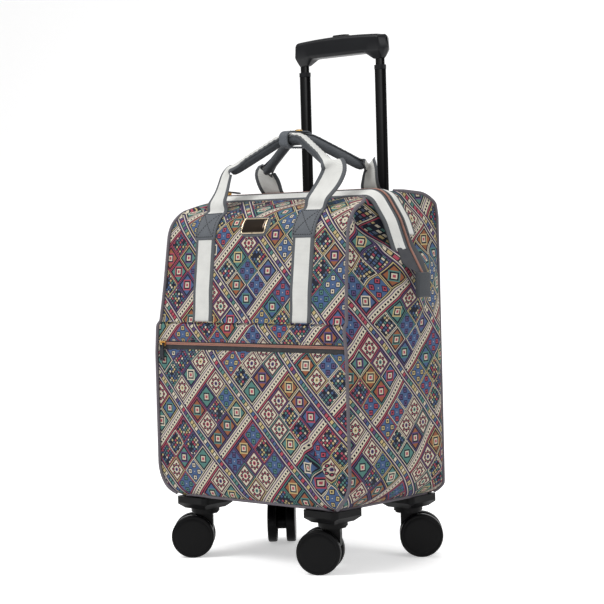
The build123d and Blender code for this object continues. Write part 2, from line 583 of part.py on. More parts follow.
nose = Pos(trail, wheel_z) * Circle(fork_nose_r)
post = make_face(Polyline((-fork_back, swivel_z - 2.5), (-fork_back, wheel_z + 7), (trail - 8, wheel_z - 8),
                          (trail, wheel_z), (trail + 9, wheel_z + 7), (fork_back + 2, swivel_z - 12),
                          (fork_back, swivel_z - 2.5), close=True))
leg = along_y(post + nose, -fork_w / 2, fork_w / 2)
pad = along_z(Circle(pad_d / 2), swivel_z - run_gap - pad_t, swivel_z - run_gap)
king = along_z(Circle(king_d / 2), swivel_z - 1, swivel_z + king_len)
axle_hole = Pos(trail, 0, wheel_z) * Rot(90, 0, 0) * Cylinder(axle_d / 2 + 0.02, fork_w * 2)
fork = leg + pad + king - axle_hole
axle_half = wheel_in + wheel_w - 2.0
axle = Pos(trail, 0, wheel_z) * Rot(90, 0, 0) * Cylinder(axle_d / 2, 2 * axle_half)
bore = axle_d / 2 + pin_gap
tread_r, wheel_out = wheel_d / 2, wheel_in + wheel_w
wheel_side = [(bore, wheel_in), (tread_r, wheel_in), (tread_r, wheel_out - rim_bevel),
              (tread_r - rim_bevel, wheel_out), (0, wheel_out), (0, axle_half + run_gap), (bore, axle_half + run_gap)]
wheel_face = make_face(Polyline(*wheel_side, close=True))
wheel = Pos(trail, 0, wheel_z) * revolve(wheel_face, Axis.Y)
for name, (cx, cy) in corners.items():
    turn = Pos(cx, cy, 0) * Rot(0, 0, rest_trail[name])
    nodes["caster_fork_" + name] = turn * fork
    nodes["caster_axle_" + name] = turn * axle
    nodes["wheel_" + name + "_a"] = turn * mirror(wheel, Plane.XZ)
    nodes["wheel_" + name + "_b"] = turn * wheel

os.makedirs("parts", exist_ok=True)
for name, part in nodes.items():
    solids = [s for piece in (part if isinstance(part, list) else [part]) for s in piece.solids()]
    export_step(solids[0] if len(solids) == 1 else Compound(children=solids), "parts/" + name + ".step")
    print(name, len(solids))
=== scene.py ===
# %% [markdown]
# # A soft trolley bag, dressed for the camera
# The bag stands on four twin-wheel casters. A printed canvas body is held open by a framed zip
# mouth whose two ends fold out like a doctor's bag, and a telescopic handle rises behind it.
# The rigid parts come from the CAD frame. Everything that is cloth, webbing or soft synthetic
# leather is made here as a surface worked out with numpy.

# %% Load the frame
import json
import math
import bpy
import numpy as np
from mathutils import Matrix, Vector


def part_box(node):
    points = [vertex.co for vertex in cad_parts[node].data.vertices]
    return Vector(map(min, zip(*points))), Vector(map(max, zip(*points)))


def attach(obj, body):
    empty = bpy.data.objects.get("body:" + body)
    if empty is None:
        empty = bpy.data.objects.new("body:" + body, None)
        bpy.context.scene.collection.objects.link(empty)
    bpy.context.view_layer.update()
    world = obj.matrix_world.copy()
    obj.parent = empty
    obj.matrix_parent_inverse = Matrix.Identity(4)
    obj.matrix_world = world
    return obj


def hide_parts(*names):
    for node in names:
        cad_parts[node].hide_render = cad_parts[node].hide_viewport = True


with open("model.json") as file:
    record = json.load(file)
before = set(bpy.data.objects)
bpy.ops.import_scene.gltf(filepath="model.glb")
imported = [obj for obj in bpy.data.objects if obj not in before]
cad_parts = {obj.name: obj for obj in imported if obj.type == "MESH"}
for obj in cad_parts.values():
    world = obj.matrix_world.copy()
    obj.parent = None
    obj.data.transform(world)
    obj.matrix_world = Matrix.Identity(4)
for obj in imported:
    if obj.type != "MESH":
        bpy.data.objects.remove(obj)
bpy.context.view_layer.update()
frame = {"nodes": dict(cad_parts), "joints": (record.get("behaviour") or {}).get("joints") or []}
nodes = frame["nodes"]

# %% [markdown]
# ## The camera
# The photograph is taken from the bag's right front, almost at its own height, with a long lens.
# The camera's place and turn were worked out from straight edges whose size is known, so they
# are written here as a point, a viewing direction and an up direction.

# %% Camera
view_from = Vector((1.6991, -1.8774, 0.4498))
view_along = Vector((-0.66991, 0.74154, -0.03656)).normalized()
view_right = view_along.cross(Vector((-0.00446, 0.04521, 0.99897))).normalized()
view_up = view_right.cross(view_along)
camera = bpy.data.objects.new("camera", bpy.data.cameras.new("camera"))
bpy.context.scene.collection.objects.link(camera)
turn = Matrix((view_right, view_up, -view_along)).transposed()
camera.matrix_world = Matrix.Translation(view_from) @ turn.to_4x4()
camera.data.sensor_width = 36.0
camera.data.lens = 107.7
camera.data.clip_end = 20.0
bpy.context.scene.camera = camera
bpy.context.scene.view_settings.view_transform = "Standard"
print("camera lens", camera.data.lens, "mm at", [round(v, 3) for v in view_from])

# %% [markdown]
# ## Floor and light
# Studio product light is one big soft source in front, one beside, and a white surround that
# fills the shadows. The floor is a pale sheet that bends up behind the bag. What the camera and
# the reflections see of the surround is plain white, and what lights the bag is dimmer.

# %% Helpers for colours and nodes
def linear(code):
    """sRGB hex to linear: divide by 12.92 in the dark part, else a 2.4 power of the shifted value."""
    values = [int(code[i:i + 2], 16) / 255 for i in (1, 3, 5)]
    return [v / 12.92 if v <= 0.04045 else ((v + 0.055) / 1.055) ** 2.4 for v in values] + [1.0]


def add_node(tree, kind, inputs=(), **settings):
    """Adds one shader node. Inputs are numbers, colours, nodes or sockets, by order or by name."""
    node = tree.nodes.new("ShaderNode" + kind)
    for name, value in settings.items():
        setattr(node, name, value)
    pairs = inputs.items() if isinstance(inputs, dict) else enumerate(inputs)
    for key, value in pairs:
        socket = node.inputs[key]
        if isinstance(value, bpy.types.Node):
            value = next(out for out in value.outputs if out.enabled)
        if isinstance(value, bpy.types.NodeSocket):
            tree.links.new(value, socket)
        else:
            socket.default_value = value
    return node


def new_material(name):
    """An empty node material, with its output node."""
    material = bpy.data.materials.new(name)
    material.use_nodes = True
    tree = material.node_tree
    tree.nodes.clear()
    return material, tree, tree.nodes.new("ShaderNodeOutputMaterial")


print("white in linear light:", linear("#ffffff"))

# %% World, lamps and floor
def quads(rows, columns, ring=False):
    """Four-sided faces that join each point of a grid to its right and upper neighbours. ring
    closes the columns on themselves."""
    index = np.arange(rows * columns).reshape(rows, columns)
    if ring:
        index = np.concatenate([index, index[:, :1]], axis=1)
    return np.stack([index[:-1, :-1], index[:-1, 1:], index[1:, 1:], index[1:, :-1]], axis=-1).reshape(-1, 4)


world = bpy.data.worlds.new("studio")
bpy.context.scene.world = world
world.use_nodes = True
tree = world.node_tree
tree.nodes.clear()
path = add_node(tree, "LightPath")
rays = [path.outputs["Is Camera Ray"], path.outputs["Is Transmission Ray"]]
seen = add_node(tree, "Math", rays, operation="MAXIMUM")
strength = add_node(tree, "Mix", {0: seen, 2: 0.5, 3: 1.0})
surround = add_node(tree, "Background", {"Color": linear("#ffffff"), "Strength": strength})
tree.links.new(surround.outputs[0], tree.nodes.new("ShaderNodeOutputWorld").inputs[0])

# Name, place in metres, size in metres and power in watts
lamps = [("key", (-1.0, -1.9, 2.7), 1.3, 62.0), ("side", (2.6, -0.4, 1.7), 1.2, 18.0),
         ("top", (0.2, 0.5, 2.8), 1.2, 22.0)]
for name, place, size, power in lamps:
    lamp = bpy.data.objects.new(name, bpy.data.lights.new(name, "AREA"))
    lamp.data.size = size
    lamp.data.energy = power
    lamp.location = place
    lamp.rotation_euler = (Vector((0, 0, 0.3)) - Vector(place)).to_track_quat("-Z", "Y").to_euler()
    bpy.context.scene.collection.objects.link(lamp)

floor_material, tree, out = new_material("painted studio floor")
path = add_node(tree, "LightPath")
rays = [path.outputs["Is Camera Ray"], path.outputs["Is Glossy Ray"]]
seen = add_node(tree, "Math", rays, operation="MAXIMUM")
paint = add_node(tree, "BsdfPrincipled", {"Base Color": linear("#f7f7f7"), "Roughness": 0.9})
glow = add_node(tree, "Emission", {"Color": linear("#ffffff"), "Strength": 0.42})
lifted = add_node(tree, "AddShader", [paint, glow])
tree.links.new(add_node(tree, "MixShader", [seen, paint, lifted]).outputs[0], out.inputs[0])

bend_from, bend = 1.6, 1.2
x, y = np.meshgrid(np.linspace(-12, 12, 41), np.linspace(-14, 4, 91))
z = bend * np.clip(y - bend_from, 0, None) ** 2 / 2
mesh = bpy.data.meshes.new("studio_floor")
mesh.from_pydata(np.stack([x, y, z], axis=-1).reshape(-1, 3).tolist(), [], quads(*x.shape).tolist())
mesh.materials.append(floor_material)
mesh.shade_smooth()
studio_floor = bpy.data.objects.new("studio_floor", mesh)
bpy.context.scene.collection.objects.link(studio_floor)
print("lamps:", ", ".join(name for name, *_ in lamps), "and a floor of", len(mesh.vertices), "points")

# %% [markdown]
# ## Meshes from grids
# Cloth panels, ribbons and tubes are all the same thing to Blender: a grid of points whose rows
# and columns are joined into four-sided faces. One function makes such a mesh, in millimetres,
# with a UV map that is the cloth's own flat measure, so a print or a weave follows the cloth.

# %% Grid meshes
def grid(*axes):
    """Several coordinates, each a number, a row, a column or a grid, joined into one grid of points."""
    return np.stack(np.broadcast_arrays(*axes), axis=-1)


def link_mesh(name, mesh, body, material, node=None):
    """Puts a finished mesh into the scene as a piece that rides on a body and shows a CAD node."""
    mesh.materials.append(material)
    mesh.shade_smooth()
    piece = bpy.data.objects.new(name, mesh)
    bpy.context.scene.collection.objects.link(piece)
    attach(piece, body)
    if node:
        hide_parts(node)
    return piece


def grid_piece(name, points, material, slot, node=None, body="bag", uv=None, ring=False, caps=False,
               thick=0.0, flip=False):
    """A grid of points as a mesh. ring closes the columns on themselves, caps fills the first and
    last row, thick gives a sheet its thickness in mm, flip turns the faces round."""
    rows, columns = points.shape[:2]
    faces = quads(rows, columns, ring).tolist()
    if caps:
        faces += [list(range(columns))[::-1], list(range((rows - 1) * columns, rows * columns))]
    if flip:
        faces = [face[::-1] for face in faces]
    mesh = bpy.data.meshes.new(name)
    mesh.from_pydata((points.reshape(-1, 3) * 0.001).tolist(), [], faces)
    if uv is not None:
        layer = mesh.uv_layers.new(name="cloth")
        loops = np.zeros(len(mesh.loops), np.int32)
        mesh.loops.foreach_get("vertex_index", loops)
        layer.data.foreach_set("uv", (uv.reshape(-1, 2)[loops] * 0.001).ravel())
    mesh.validate()
    piece = link_mesh(name, mesh, body, material, node)
    if thick:
        wall = piece.modifiers.new("thickness", "SOLIDIFY")
        wall.thickness = thick * 0.001
        wall.offset = -1.0
    return piece


def rounded(points, radii, step=2.0):
    """A line through corners, each replaced by an arc of its radius, then cut into equal steps."""
    points = np.asarray(points, float)
    line = [points[:1]]
    for before, corner, after, radius in zip(points[:-2], points[1:-1], points[2:], radii):
        a, b = unit(before - corner), unit(after - corner)
        half = np.arccos(np.clip(a @ b, -1, 1)) / 2
        if radius <= 0 or half > 1.55:
            line.append(corner[None])
            continue
        centre = corner + unit(a + b) * radius / np.sin(half)
        start, end = (corner + leg * radius / np.tan(half) - centre for leg in (a, b))
        turn = np.pi - 2 * half
        share = np.linspace(0, 1, max(3, int(turn * 12) + 2))[:, None]
        line.append(centre + (np.sin((1 - share) * turn) * start + np.sin(share * turn) * end) / np.sin(turn))
    line.append(points[-1:])
    return even(np.concatenate(line), step)


def distances(line):
    """Distance along a line from its first point to each of its points."""
    return np.concatenate([[0], np.linalg.norm(np.diff(line, axis=0), axis=1).cumsum()])


def read_off(at, known, values):
    """Columns of values, known at some distances, read off at other distances."""
    return grid(*[np.interp(at, known, column) for column in values.T])


def even(line, step=2.0, count=None):
    """The same line with points at equal distances along it."""
    length = distances(line)
    count = count or max(2, int(round(length[-1] / step)) + 1)
    return read_off(np.linspace(0, length[-1], count), length, line)


def unit(vectors):
    """Vectors scaled to length one."""
    return vectors / np.linalg.norm(vectors, axis=-1, keepdims=True)


def directions(line):
    """Unit tangents of a line."""
    return unit(np.gradient(line, axis=0))


def level_with(across, along):
    """Directions made square to the tangents, and of unit length."""
    return unit(across - along * (across * along).sum(1, keepdims=True))


def outward(line):
    """Unit normals of a flat line: its tangents turned a quarter to the left."""
    return directions(line)[:, ::-1] * (-1, 1)


def moved_out(line, by):
    """A flat line moved along its normals by a grid of distances: its two coordinates as grids."""
    return np.moveaxis(line[:, None] + outward(line)[:, None] * by[..., None], -1, 0)


def sweep(line, across, profile, scale=1.0):
    """Carries a profile along a line: point = line + across * first number + up * second, where
    up is the tangent crossed with across."""
    along = directions(line)
    across = level_with(np.broadcast_to(across, line.shape), along)
    up = np.cross(across, along)
    scale = np.broadcast_to(np.asarray(scale, float), (len(line),))[:, None, None]
    return line[:, None] + scale * (across[:, None] * profile[:, :1] + up[:, None] * profile[:, 1:])


def circle(radius, count=14):
    """Points round a circle."""
    angle = np.linspace(0, 2 * np.pi, count, endpoint=False)
    return radius * grid(np.cos(angle), np.sin(angle))


def soft_box(width, height, corner, count=6):
    """A rectangle with rounded corners, as a ring of points."""
    angle = np.linspace(0, np.pi / 2, count)
    arc = corner * grid(np.cos(angle), np.sin(angle))
    x, y = width / 2 - corner, height / 2 - corner
    return np.concatenate([arc + (x, y), arc[:, ::-1] * (-1, 1) + (-x, y), -arc + (-x, -y),
                           arc[:, ::-1] * (1, -1) + (x, -y)])


def smooth_step(value, low, high):
    """0 below low, 1 above high, and a soft S between them."""
    t = np.clip((value - low) / (high - low), 0, 1)
    return t * t * (3 - 2 * t)


def plateau(value, start, full, fall, end):
    """1 from full to fall, 0 outside start and end, and a soft S at either side."""
    return smooth_step(value, start, full) * (1 - smooth_step(value, fall, end))


def bell(value, width):
    """A bell curve: e to the power of minus the square of value over width."""
    return np.exp(-(value / width) ** 2)


x_axis, y_axis, z_axis = np.eye(3)
print("helpers ready")

# %% [markdown]
# ## The printed canvas
# The cloth is cotton canvas with a print of many small figures. The print here is a plain kilim
# layout of its own. Bands cross on the bias and leave large squares, which stand on a corner.
# Each large square holds nine small blocks, and each block takes one of four fillings by a
# random number of its cell. All of it is arithmetic on the cloth's own millimetres: the place
# in a repeat is a remainder, and each figure is a comparison of distances.

# %% Print: places in the repeat
repeat_mm, band_mm, block_mm = 96.0, 15.0, 27.0
navy, cream, coral, blue, teal = "#141828", "#c6bda9", "#a04152", "#42597f", "#4b7770"
maroon, purple, slate, straw, rust = "#57293b", "#53406a", "#4a566a", "#b4a272", "#8c5538"

canvas, tree, out = new_material("printed cotton canvas")
flat = add_node(tree, "UVMap", uv_map="cloth")
bias = add_node(tree, "Mapping", {"Vector": flat, "Rotation": (0, 0, math.radians(45)),
                                  "Scale": (1000, 1000, 0)})
square = add_node(tree, "VectorMath", [bias, (repeat_mm, repeat_mm, 1)], operation="DIVIDE")
square = add_node(tree, "VectorMath", [square], operation="FLOOR")
inside = add_node(tree, "VectorMath", [square, (-repeat_mm, -repeat_mm, 0), bias], operation="MULTIPLY_ADD")
past = add_node(tree, "VectorMath", [inside, (band_mm, band_mm, 0)], operation="SUBTRACT")
block = add_node(tree, "VectorMath", [past, (block_mm, block_mm, 1)], operation="DIVIDE")
block = add_node(tree, "VectorMath", [block], operation="FLOOR")
corner = add_node(tree, "VectorMath", [block, (-block_mm, -block_mm, 0), past], operation="MULTIPLY_ADD")
off = add_node(tree, "VectorMath", [corner, (block_mm / 2, block_mm / 2, 0)], operation="SUBTRACT")
away = add_node(tree, "SeparateXYZ", [add_node(tree, "VectorMath", [off], operation="ABSOLUTE")])
edge = add_node(tree, "Math", [away.outputs[0], away.outputs[1]], operation="MAXIMUM")
diamond = add_node(tree, "Math", [away.outputs[0], away.outputs[1]], operation="ADD")
radius = add_node(tree, "VectorMath", [off], operation="LENGTH")
cell = add_node(tree, "VectorMath", [square, (3, 3, 0), block], operation="MULTIPLY_ADD")
dice = add_node(tree, "TexWhiteNoise", [cell], noise_dimensions="2D")
chance = add_node(tree, "SeparateColor", [dice.outputs["Color"]])
print("repeat", repeat_mm, "mm, block", block_mm, "mm")

# %% Print: small squares, petals and rows
# Small squares, each with a random number of its own
tiny_mm = 4.5
tiny = add_node(tree, "VectorMath", [corner, (tiny_mm, tiny_mm, 1)], operation="DIVIDE")
tiny_cell = add_node(tree, "VectorMath", [tiny], operation="FLOOR")
tiny_off = add_node(tree, "VectorMath", [tiny], operation="FRACTION")
tiny_off = add_node(tree, "VectorMath", [tiny_off, (0.5, 0.5, 0)], operation="SUBTRACT")
tiny_away = add_node(tree, "SeparateXYZ", [add_node(tree, "VectorMath", [tiny_off], operation="ABSOLUTE")])
tiny_edge = add_node(tree, "Math", [tiny_away.outputs[0], tiny_away.outputs[1]], operation="MAXIMUM")
tiny_id = add_node(tree, "VectorMath", [cell, (7, 7, 0), tiny_cell], operation="MULTIPLY_ADD")
tiny_dice = add_node(tree, "TexWhiteNoise", [tiny_id], noise_dimensions="2D")

# Four diamonds: the block is folded onto one quarter of it
quarter_mm = 6.2
quarter = add_node(tree, "VectorMath", [off], operation="ABSOLUTE")
quarter = add_node(tree, "VectorMath", [quarter, (quarter_mm, quarter_mm, 0)], operation="SUBTRACT")
quarter = add_node(tree, "SeparateXYZ", [quarter])
quarter_away = [add_node(tree, "Math", [quarter.outputs[i]], operation="ABSOLUTE") for i in (0, 1)]
quarter_edge = add_node(tree, "Math", quarter_away, operation="ADD")

# Petals: the turn is folded to a sixteenth, so that one petal stands for eight
petal_mm = 7.0
spot = add_node(tree, "SeparateXYZ", [off])
angle = add_node(tree, "Math", [spot.outputs[1], spot.outputs[0]], operation="ARCTAN2")
turned = add_node(tree, "Math", [angle, math.pi / 8], operation="PINGPONG")
beside = add_node(tree, "Math", [turned, radius], operation="MULTIPLY")
beyond = add_node(tree, "Math", [radius, petal_mm], operation="SUBTRACT")
petal = add_node(tree, "VectorMath", [add_node(tree, "CombineXYZ", [beside, beyond])], operation="LENGTH")

# Rows of dots and of tiles along the bands between the large squares
dot_mm, tile_mm = 2.6, 3.0
in_square = add_node(tree, "SeparateXYZ", [inside])
along = add_node(tree, "SeparateXYZ", [bias])
dot_run = add_node(tree, "Math", [along.outputs[1], dot_mm], operation="PINGPONG")
dot_far = add_node(tree, "Math", [in_square.outputs[0], band_mm / 2], operation="SUBTRACT")
dot = add_node(tree, "VectorMath", [add_node(tree, "CombineXYZ", [dot_run, dot_far])], operation="LENGTH")
tile_cell = add_node(tree, "Math", [along.outputs[0], 2 * tile_mm], operation="DIVIDE")
tile_cell = add_node(tree, "Math", [tile_cell], operation="FLOOR")
tile_run = add_node(tree, "Math", [along.outputs[0], tile_mm], operation="PINGPONG")
tile_far = add_node(tree, "Math", [in_square.outputs[1], band_mm / 2], operation="SUBTRACT")
tile_far = add_node(tree, "Math", [tile_far], operation="ABSOLUTE")
tile_cell = add_node(tree, "CombineXYZ", [tile_cell])
tile_dice = add_node(tree, "TexWhiteNoise", [tile_cell], noise_dimensions="2D")

# Colours picked by chance, out of short lists
picks = {"ground": (chance.outputs[0], [blue, navy, slate, blue, rust, teal, blue, maroon]),
         "accent": (chance.outputs[1], [coral, straw, teal, purple, cream]),
         "frame": (chance.outputs[2], [cream, purple, straw, coral, teal, cream]),
         "tiny": (tiny_dice.outputs["Value"], [navy, teal, straw, slate, coral, blue, cream]),
         "tile": (tile_dice.outputs["Value"], [straw, teal, purple, blue, teal, cream, coral])}
picked = {}
for name, (number, colours) in picks.items():
    picked[name] = add_node(tree, "ValToRGB", [number])
    stops = picked[name].color_ramp
    stops.interpolation = "CONSTANT"
    for i, colour in enumerate(colours):
        stop = stops.elements[i] if i < 2 else stops.elements.new(i / len(colours))
        stop.position, stop.color = i / len(colours), linear(colour)
print("colours to pick from:", {name: len(colours) for name, (_, colours) in picks.items()})

# %% Print: fillings painted one figure over another
def ink(name):
    """A colour by its hex value, or the socket of a colour that is picked by chance."""
    return picked.get(name) or linear(name)


less, more = "LESS_THAN", "GREATER_THAN"
in_band = in_square.outputs[0]
fillings = {
    "grid": (navy, [(tiny_edge, less, 0.33, "tiny")]),
    "petals": (cream, [(edge, more, 9.8, maroon), (petal, less, 2.5, navy),
                       (petal, less, 1.1, coral), (radius, less, 2.8, "accent"),
                       (radius, less, 1.2, navy)]),
    "steps": ("ground", [(edge, more, 9.6, navy), (diamond, less, 10.5, "accent"),
                         (diamond, less, 8.0, navy), (diamond, less, 5.2, cream),
                         (diamond, less, 2.8, coral)]),
    "quarters": (blue, [(quarter_edge, less, 5.4, navy), (quarter_edge, less, 3.8, "accent"),
                         (quarter_edge, less, 1.7, navy), (edge, less, 0.6, cream)]),
    "dotted": (cream, [(dot, less, 1.6, navy), (in_band, less, 4.0, purple),
                       (in_band, less, 2.6, cream), (in_band, less, 1.0, navy),
                       (in_band, more, 11.0, navy), (in_band, more, 12.2, coral),
                       (in_band, more, 13.8, navy)]),
    "tiled": (navy, [(tile_run, more, 0.7, "tile"), (tile_far, more, 2.4, navy),
                     (tile_far, more, 3.8, cream), (tile_far, more, 5.0, purple),
                     (tile_far, more, 6.3, navy)]),
}
painted = {}
for name, (ground, figures) in fillings.items():
    colour = ink(ground)
    for distance, test, limit, paint in figures:
        mask = add_node(tree, "Math", [distance, limit], operation=test)
        colour = add_node(tree, "Mix", {0: mask, 6: colour, 7: ink(paint)}, data_type="RGBA")
    painted[name] = colour

cloth_ink = painted["grid"]
for limit, name in ((0.26, "petals"), (0.42, "steps"), (0.74, "quarters")):
    mask = add_node(tree, "Math", [dice.outputs["Value"], limit], operation=more)
    cloth_ink = add_node(tree, "Mix", {0: mask, 6: cloth_ink, 7: painted[name]}, data_type="RGBA")
for limit, paint in ((11.4, navy), (11.9, "frame"), (13.0, navy)):
    mask = add_node(tree, "Math", [edge, limit], operation=more)
    cloth_ink = add_node(tree, "Mix", {0: mask, 6: cloth_ink, 7: ink(paint)}, data_type="RGBA")
for axis, name in ((0, "dotted"), (1, "tiled")):
    mask = add_node(tree, "Math", [in_square.outputs[axis], band_mm], operation=less)
    cloth_ink = add_node(tree, "Mix", {0: mask, 6: cloth_ink, 7: painted[name]}, data_type="RGBA")
print("fillings:", ", ".join(fillings))


# %% Print: threads and wear
def cloth_finish(tree, out, colour, height, depth_mm, rough):
    """Ends a cloth material: its colour, and a bump from a thread height in millimetres."""
    bump = add_node(tree, "Bump", {"Strength": 1.0, "Distance": depth_mm * 0.001, "Height": height})
    shader = add_node(tree, "BsdfPrincipled", {"Base Color": colour, "Roughness": rough, "Normal": bump,
                                               "Specular IOR Level": 0.2})
    tree.links.new(shader.outputs[0], out.inputs[0])


# Threads: 0.5 mm in the cloth, drawn 1.1 mm apart so that they show at this distance
threads = add_node(tree, "Mapping", {"Vector": flat, "Scale": (1000, 1000, 1)})
threads = add_node(tree, "SeparateXYZ", [threads])
thread_mm = 0.55
weave = [add_node(tree, "Math", [threads.outputs[i], thread_mm], operation="PINGPONG") for i in (0, 1)]
height = add_node(tree, "Math", weave, operation="MULTIPLY")
worn = add_node(tree, "TexNoise", {"Vector": flat, "Scale": 28.0, "Detail": 4.0})
faded = add_node(tree, "MapRange", {"Value": worn, "From Min": 0.3, "From Max": 0.7,
                                    "To Min": 0.02, "To Max": 0.1})
dulled = add_node(tree, "Mix", {0: faded, 6: cloth_ink, 7: linear("#6c6b6b")}, data_type="RGBA")
cloth_finish(tree, out, dulled, height, 0.35, 0.86)
print("printed canvas:", len(tree.nodes), "nodes")

# %% [markdown]
# ## Webbing, tapes and soft synthetic leather
# Webbing is woven in ribs across its width, and its two edges here are bound in slate grey. The
# same recipe makes every strap: only the pale part's middle and half width change. The slate
# parts are polyurethane-coated cloth, which has a fine pebbled grain and a dull gloss.

# %% Woven and coated materials
def woven(name, pale, middle=0.0, half=500.0, edge="#54575b", rib_mm=1.7, depth=0.3, rough=0.8):
    """Ribbed webbing: pale within half a width of its middle line, in millimetres, and edge outside."""
    material, tree, out = new_material(name)
    flat = add_node(tree, "UVMap", uv_map="cloth")
    axes = add_node(tree, "Mapping", {"Vector": flat, "Scale": (1000, 1000, 1)})
    axes = add_node(tree, "SeparateXYZ", [axes])
    inside = add_node(tree, "Math", [axes.outputs[0], middle, half], operation="COMPARE")
    rib = add_node(tree, "Math", [axes.outputs[1], rib_mm / 2], operation="PINGPONG")
    slant = add_node(tree, "Math", [axes.outputs[0], axes.outputs[1]], operation="ADD")
    twill_mm = 0.9
    twill = add_node(tree, "Math", [slant, twill_mm], operation="PINGPONG")
    height = add_node(tree, "Math", [rib, twill], operation="ADD")
    # Painted shade: the grooves between ribs and twill lines are mixed towards grey, more where the soil
    # noise is strong
    soil_and_shade_noise = add_node(tree, "TexNoise", {"Vector": flat, "Scale": 60.0, "Detail": 5.0})
    base = add_node(tree, "Mix", {0: inside, 6: linear(edge), 7: linear(pale)}, data_type="RGBA")
    depth_tone = add_node(tree, "Math", [height, -0.4, 0.62], operation="MULTIPLY_ADD")
    soil_and_groove_shade = add_node(tree, "Math", [depth_tone, soil_and_shade_noise], operation="MULTIPLY")
    colour = add_node(tree, "Mix", {0: soil_and_groove_shade, 6: base, 7: linear("#6f6f70")}, data_type="RGBA")
    cloth_finish(tree, out, colour, height, depth, rough)
    return material


def coated(name, colour, dark, rough=0.5, grain_mm=1.3):
    """Polyurethane-coated cloth: pebbled grain from cell distances, with painted shade darkening its valleys.
    """
    material, tree, out = new_material(name)
    spot = add_node(tree, "TexCoord").outputs["Object"]
    grain = add_node(tree, "TexVoronoi", {"Vector": spot, "Scale": 1000 / grain_mm})
    cloud = add_node(tree, "TexNoise", {"Vector": spot, "Scale": 45.0, "Detail": 5.0})
    # Painted shade: where the grain is low, in its valleys, the colour goes towards the dark one, varied by
    # the cloud noise
    share = add_node(tree, "Math", [cloud, grain, 0.25], operation="MULTIPLY_ADD")
    tone = add_node(tree, "Mix", {0: share, 6: linear(dark), 7: linear(colour)}, data_type="RGBA")
    cloth_finish(tree, out, tone, grain, 0.25, rough)
    return material


strap_webbing = woven("white webbing with grey edges", "#dededa", half=13.2)
band_webbing = woven("white band with grey edges", "#e2e2de", middle=8.6, half=5.8)
zip_cloth = woven("charcoal zip tape", "#3a3b40", rib_mm=1.2, depth=0.15)
pocket_cloth = woven("black zip tape", "#1d1d21", rib_mm=1.2, depth=0.15)
piping_cloth = woven("plum grey piping cloth", "#655f66", rib_mm=1.4, depth=0.2)
base_cloth = woven("black coated base cloth", "#232327", rib_mm=1.5, depth=0.2)
slate_leather = coated("slate synthetic leather", "#676b70", "#474a4f")
grip_leather = coated("dark slate synthetic leather", "#4d5054", "#323539")
thread = coated("slate sewing thread", "#7b8086", "#53575c", rough=0.7, grain_mm=0.6)
dark_thread = coated("dark sewing thread", "#3b3e42", "#26282b", rough=0.7, grain_mm=0.6)
dark_leather = coated("charcoal synthetic leather", "#34383e", "#202328", rough=0.45)
print("soft materials:", len(bpy.data.materials))

# %% [markdown]
# ## Plastics and metals
# The pull handle and the casters are moulded plastic: ABS is a little glossy, polypropylene is
# duller. Both get a fine spark-eroded texture as bump. The telescopic tubes are aluminium with a
# satin black coat, drawn lengthwise. The small fittings are zinc with a pale gold plating.

# %% Moulded and metal materials
def moulded(name, colour, rough, grain_mm, depth_mm, coat=0.0, metal=0.0, shine=0.5, stretch=(1, 1, 1)):
    """A hard finish: one colour with faint clouding, and a bump of the tool's texture."""
    material, tree, out = new_material(name)
    spot = add_node(tree, "TexCoord").outputs["Object"]
    spot = add_node(tree, "Mapping", {"Vector": spot, "Scale": stretch})
    grain = add_node(tree, "TexNoise", {"Vector": spot, "Scale": 1000 / grain_mm, "Detail": 3.0})
    cloud = add_node(tree, "TexNoise", {"Vector": spot, "Scale": 35.0, "Detail": 4.0})
    dark, cloudy = linear(colour), 1.35
    pale = [cloudy * value for value in dark[:3]] + [1.0]
    tone = add_node(tree, "Mix", {0: cloud.outputs[0], 6: dark, 7: pale}, data_type="RGBA")
    gloss = add_node(tree, "MapRange", {"Value": cloud.outputs[0], "To Min": rough - 0.05,
                                        "To Max": rough + 0.07})
    bump = add_node(tree, "Bump", {"Strength": 1.0, "Distance": depth_mm * 0.001,
                                   "Height": grain.outputs[0]})
    shader = add_node(tree, "BsdfPrincipled", {"Base Color": tone, "Roughness": gloss, "Normal": bump,
                                               "Metallic": metal, "Coat Weight": coat,
                                               "Specular IOR Level": shine})
    tree.links.new(shader.outputs[0], out.inputs[0])
    return material


black_abs = moulded("moulded black ABS", "#0d0e11", 0.33, 0.9, 0.02, shine=0.22)
caster_plastic = moulded("moulded black polypropylene", "#070708", 0.44, 1.1, 0.04, shine=0.12)
wheel_plastic = moulded("turned black polyurethane", "#070708", 0.38, 1.4, 0.02, shine=0.12)
tube_coat = moulded("satin black aluminium tube", "#050506", 0.32, 1.0, 0.006, shine=0.06,
                    stretch=(1, 1, 0.05))
gold = moulded("pale gold plating", "#d2a865", 0.24, 0.8, 0.01, metal=1.0)
bronze = moulded("black bronze", "#3b332c", 0.16, 2.5, 0.012, metal=1.0)
bright_bronze = moulded("polished pale bronze", "#c3b49a", 0.18, 2.5, 0.01, metal=1.0)
steel = moulded("bright zinc on steel", "#b4b6ba", 0.3, 0.8, 0.02, metal=1.0)
board_plastic = moulded("grey polypropylene board", "#77746e", 0.6, 1.5, 0.05)
button_plastic = moulded("smooth black ABS button", "#131314", 0.3, 1.2, 0.01, shine=0.3)
coil_plastic = moulded("metallised polyester coil", "#a87868", 0.3, 0.7, 0.02, coat=0.2)
print("materials:", len(bpy.data.materials))

# %% [markdown]
# ## The shape of the bag
# Seen from the front, the body is widest up to its waist and narrows towards the mouth. Seen
# from the side, the front leans back above its pocket and both shoulders are round. The zip runs
# along a ridge on top and comes down two legs that stand out from the sides. Every panel below
# is worked out from these few lines, so the seams of two panels meet exactly.

# %% Outlines of the body
taper_z = [135, 290, 330, 360, 390, 440, 470, 492, 500, 512]
taper_x = [177.5, 177.0, 173.6, 171, 169, 167.4, 166, 162.5, 160.5, 158]
floor_radius, rear_radius, seam_top = 50.0, 40.0, 440.0


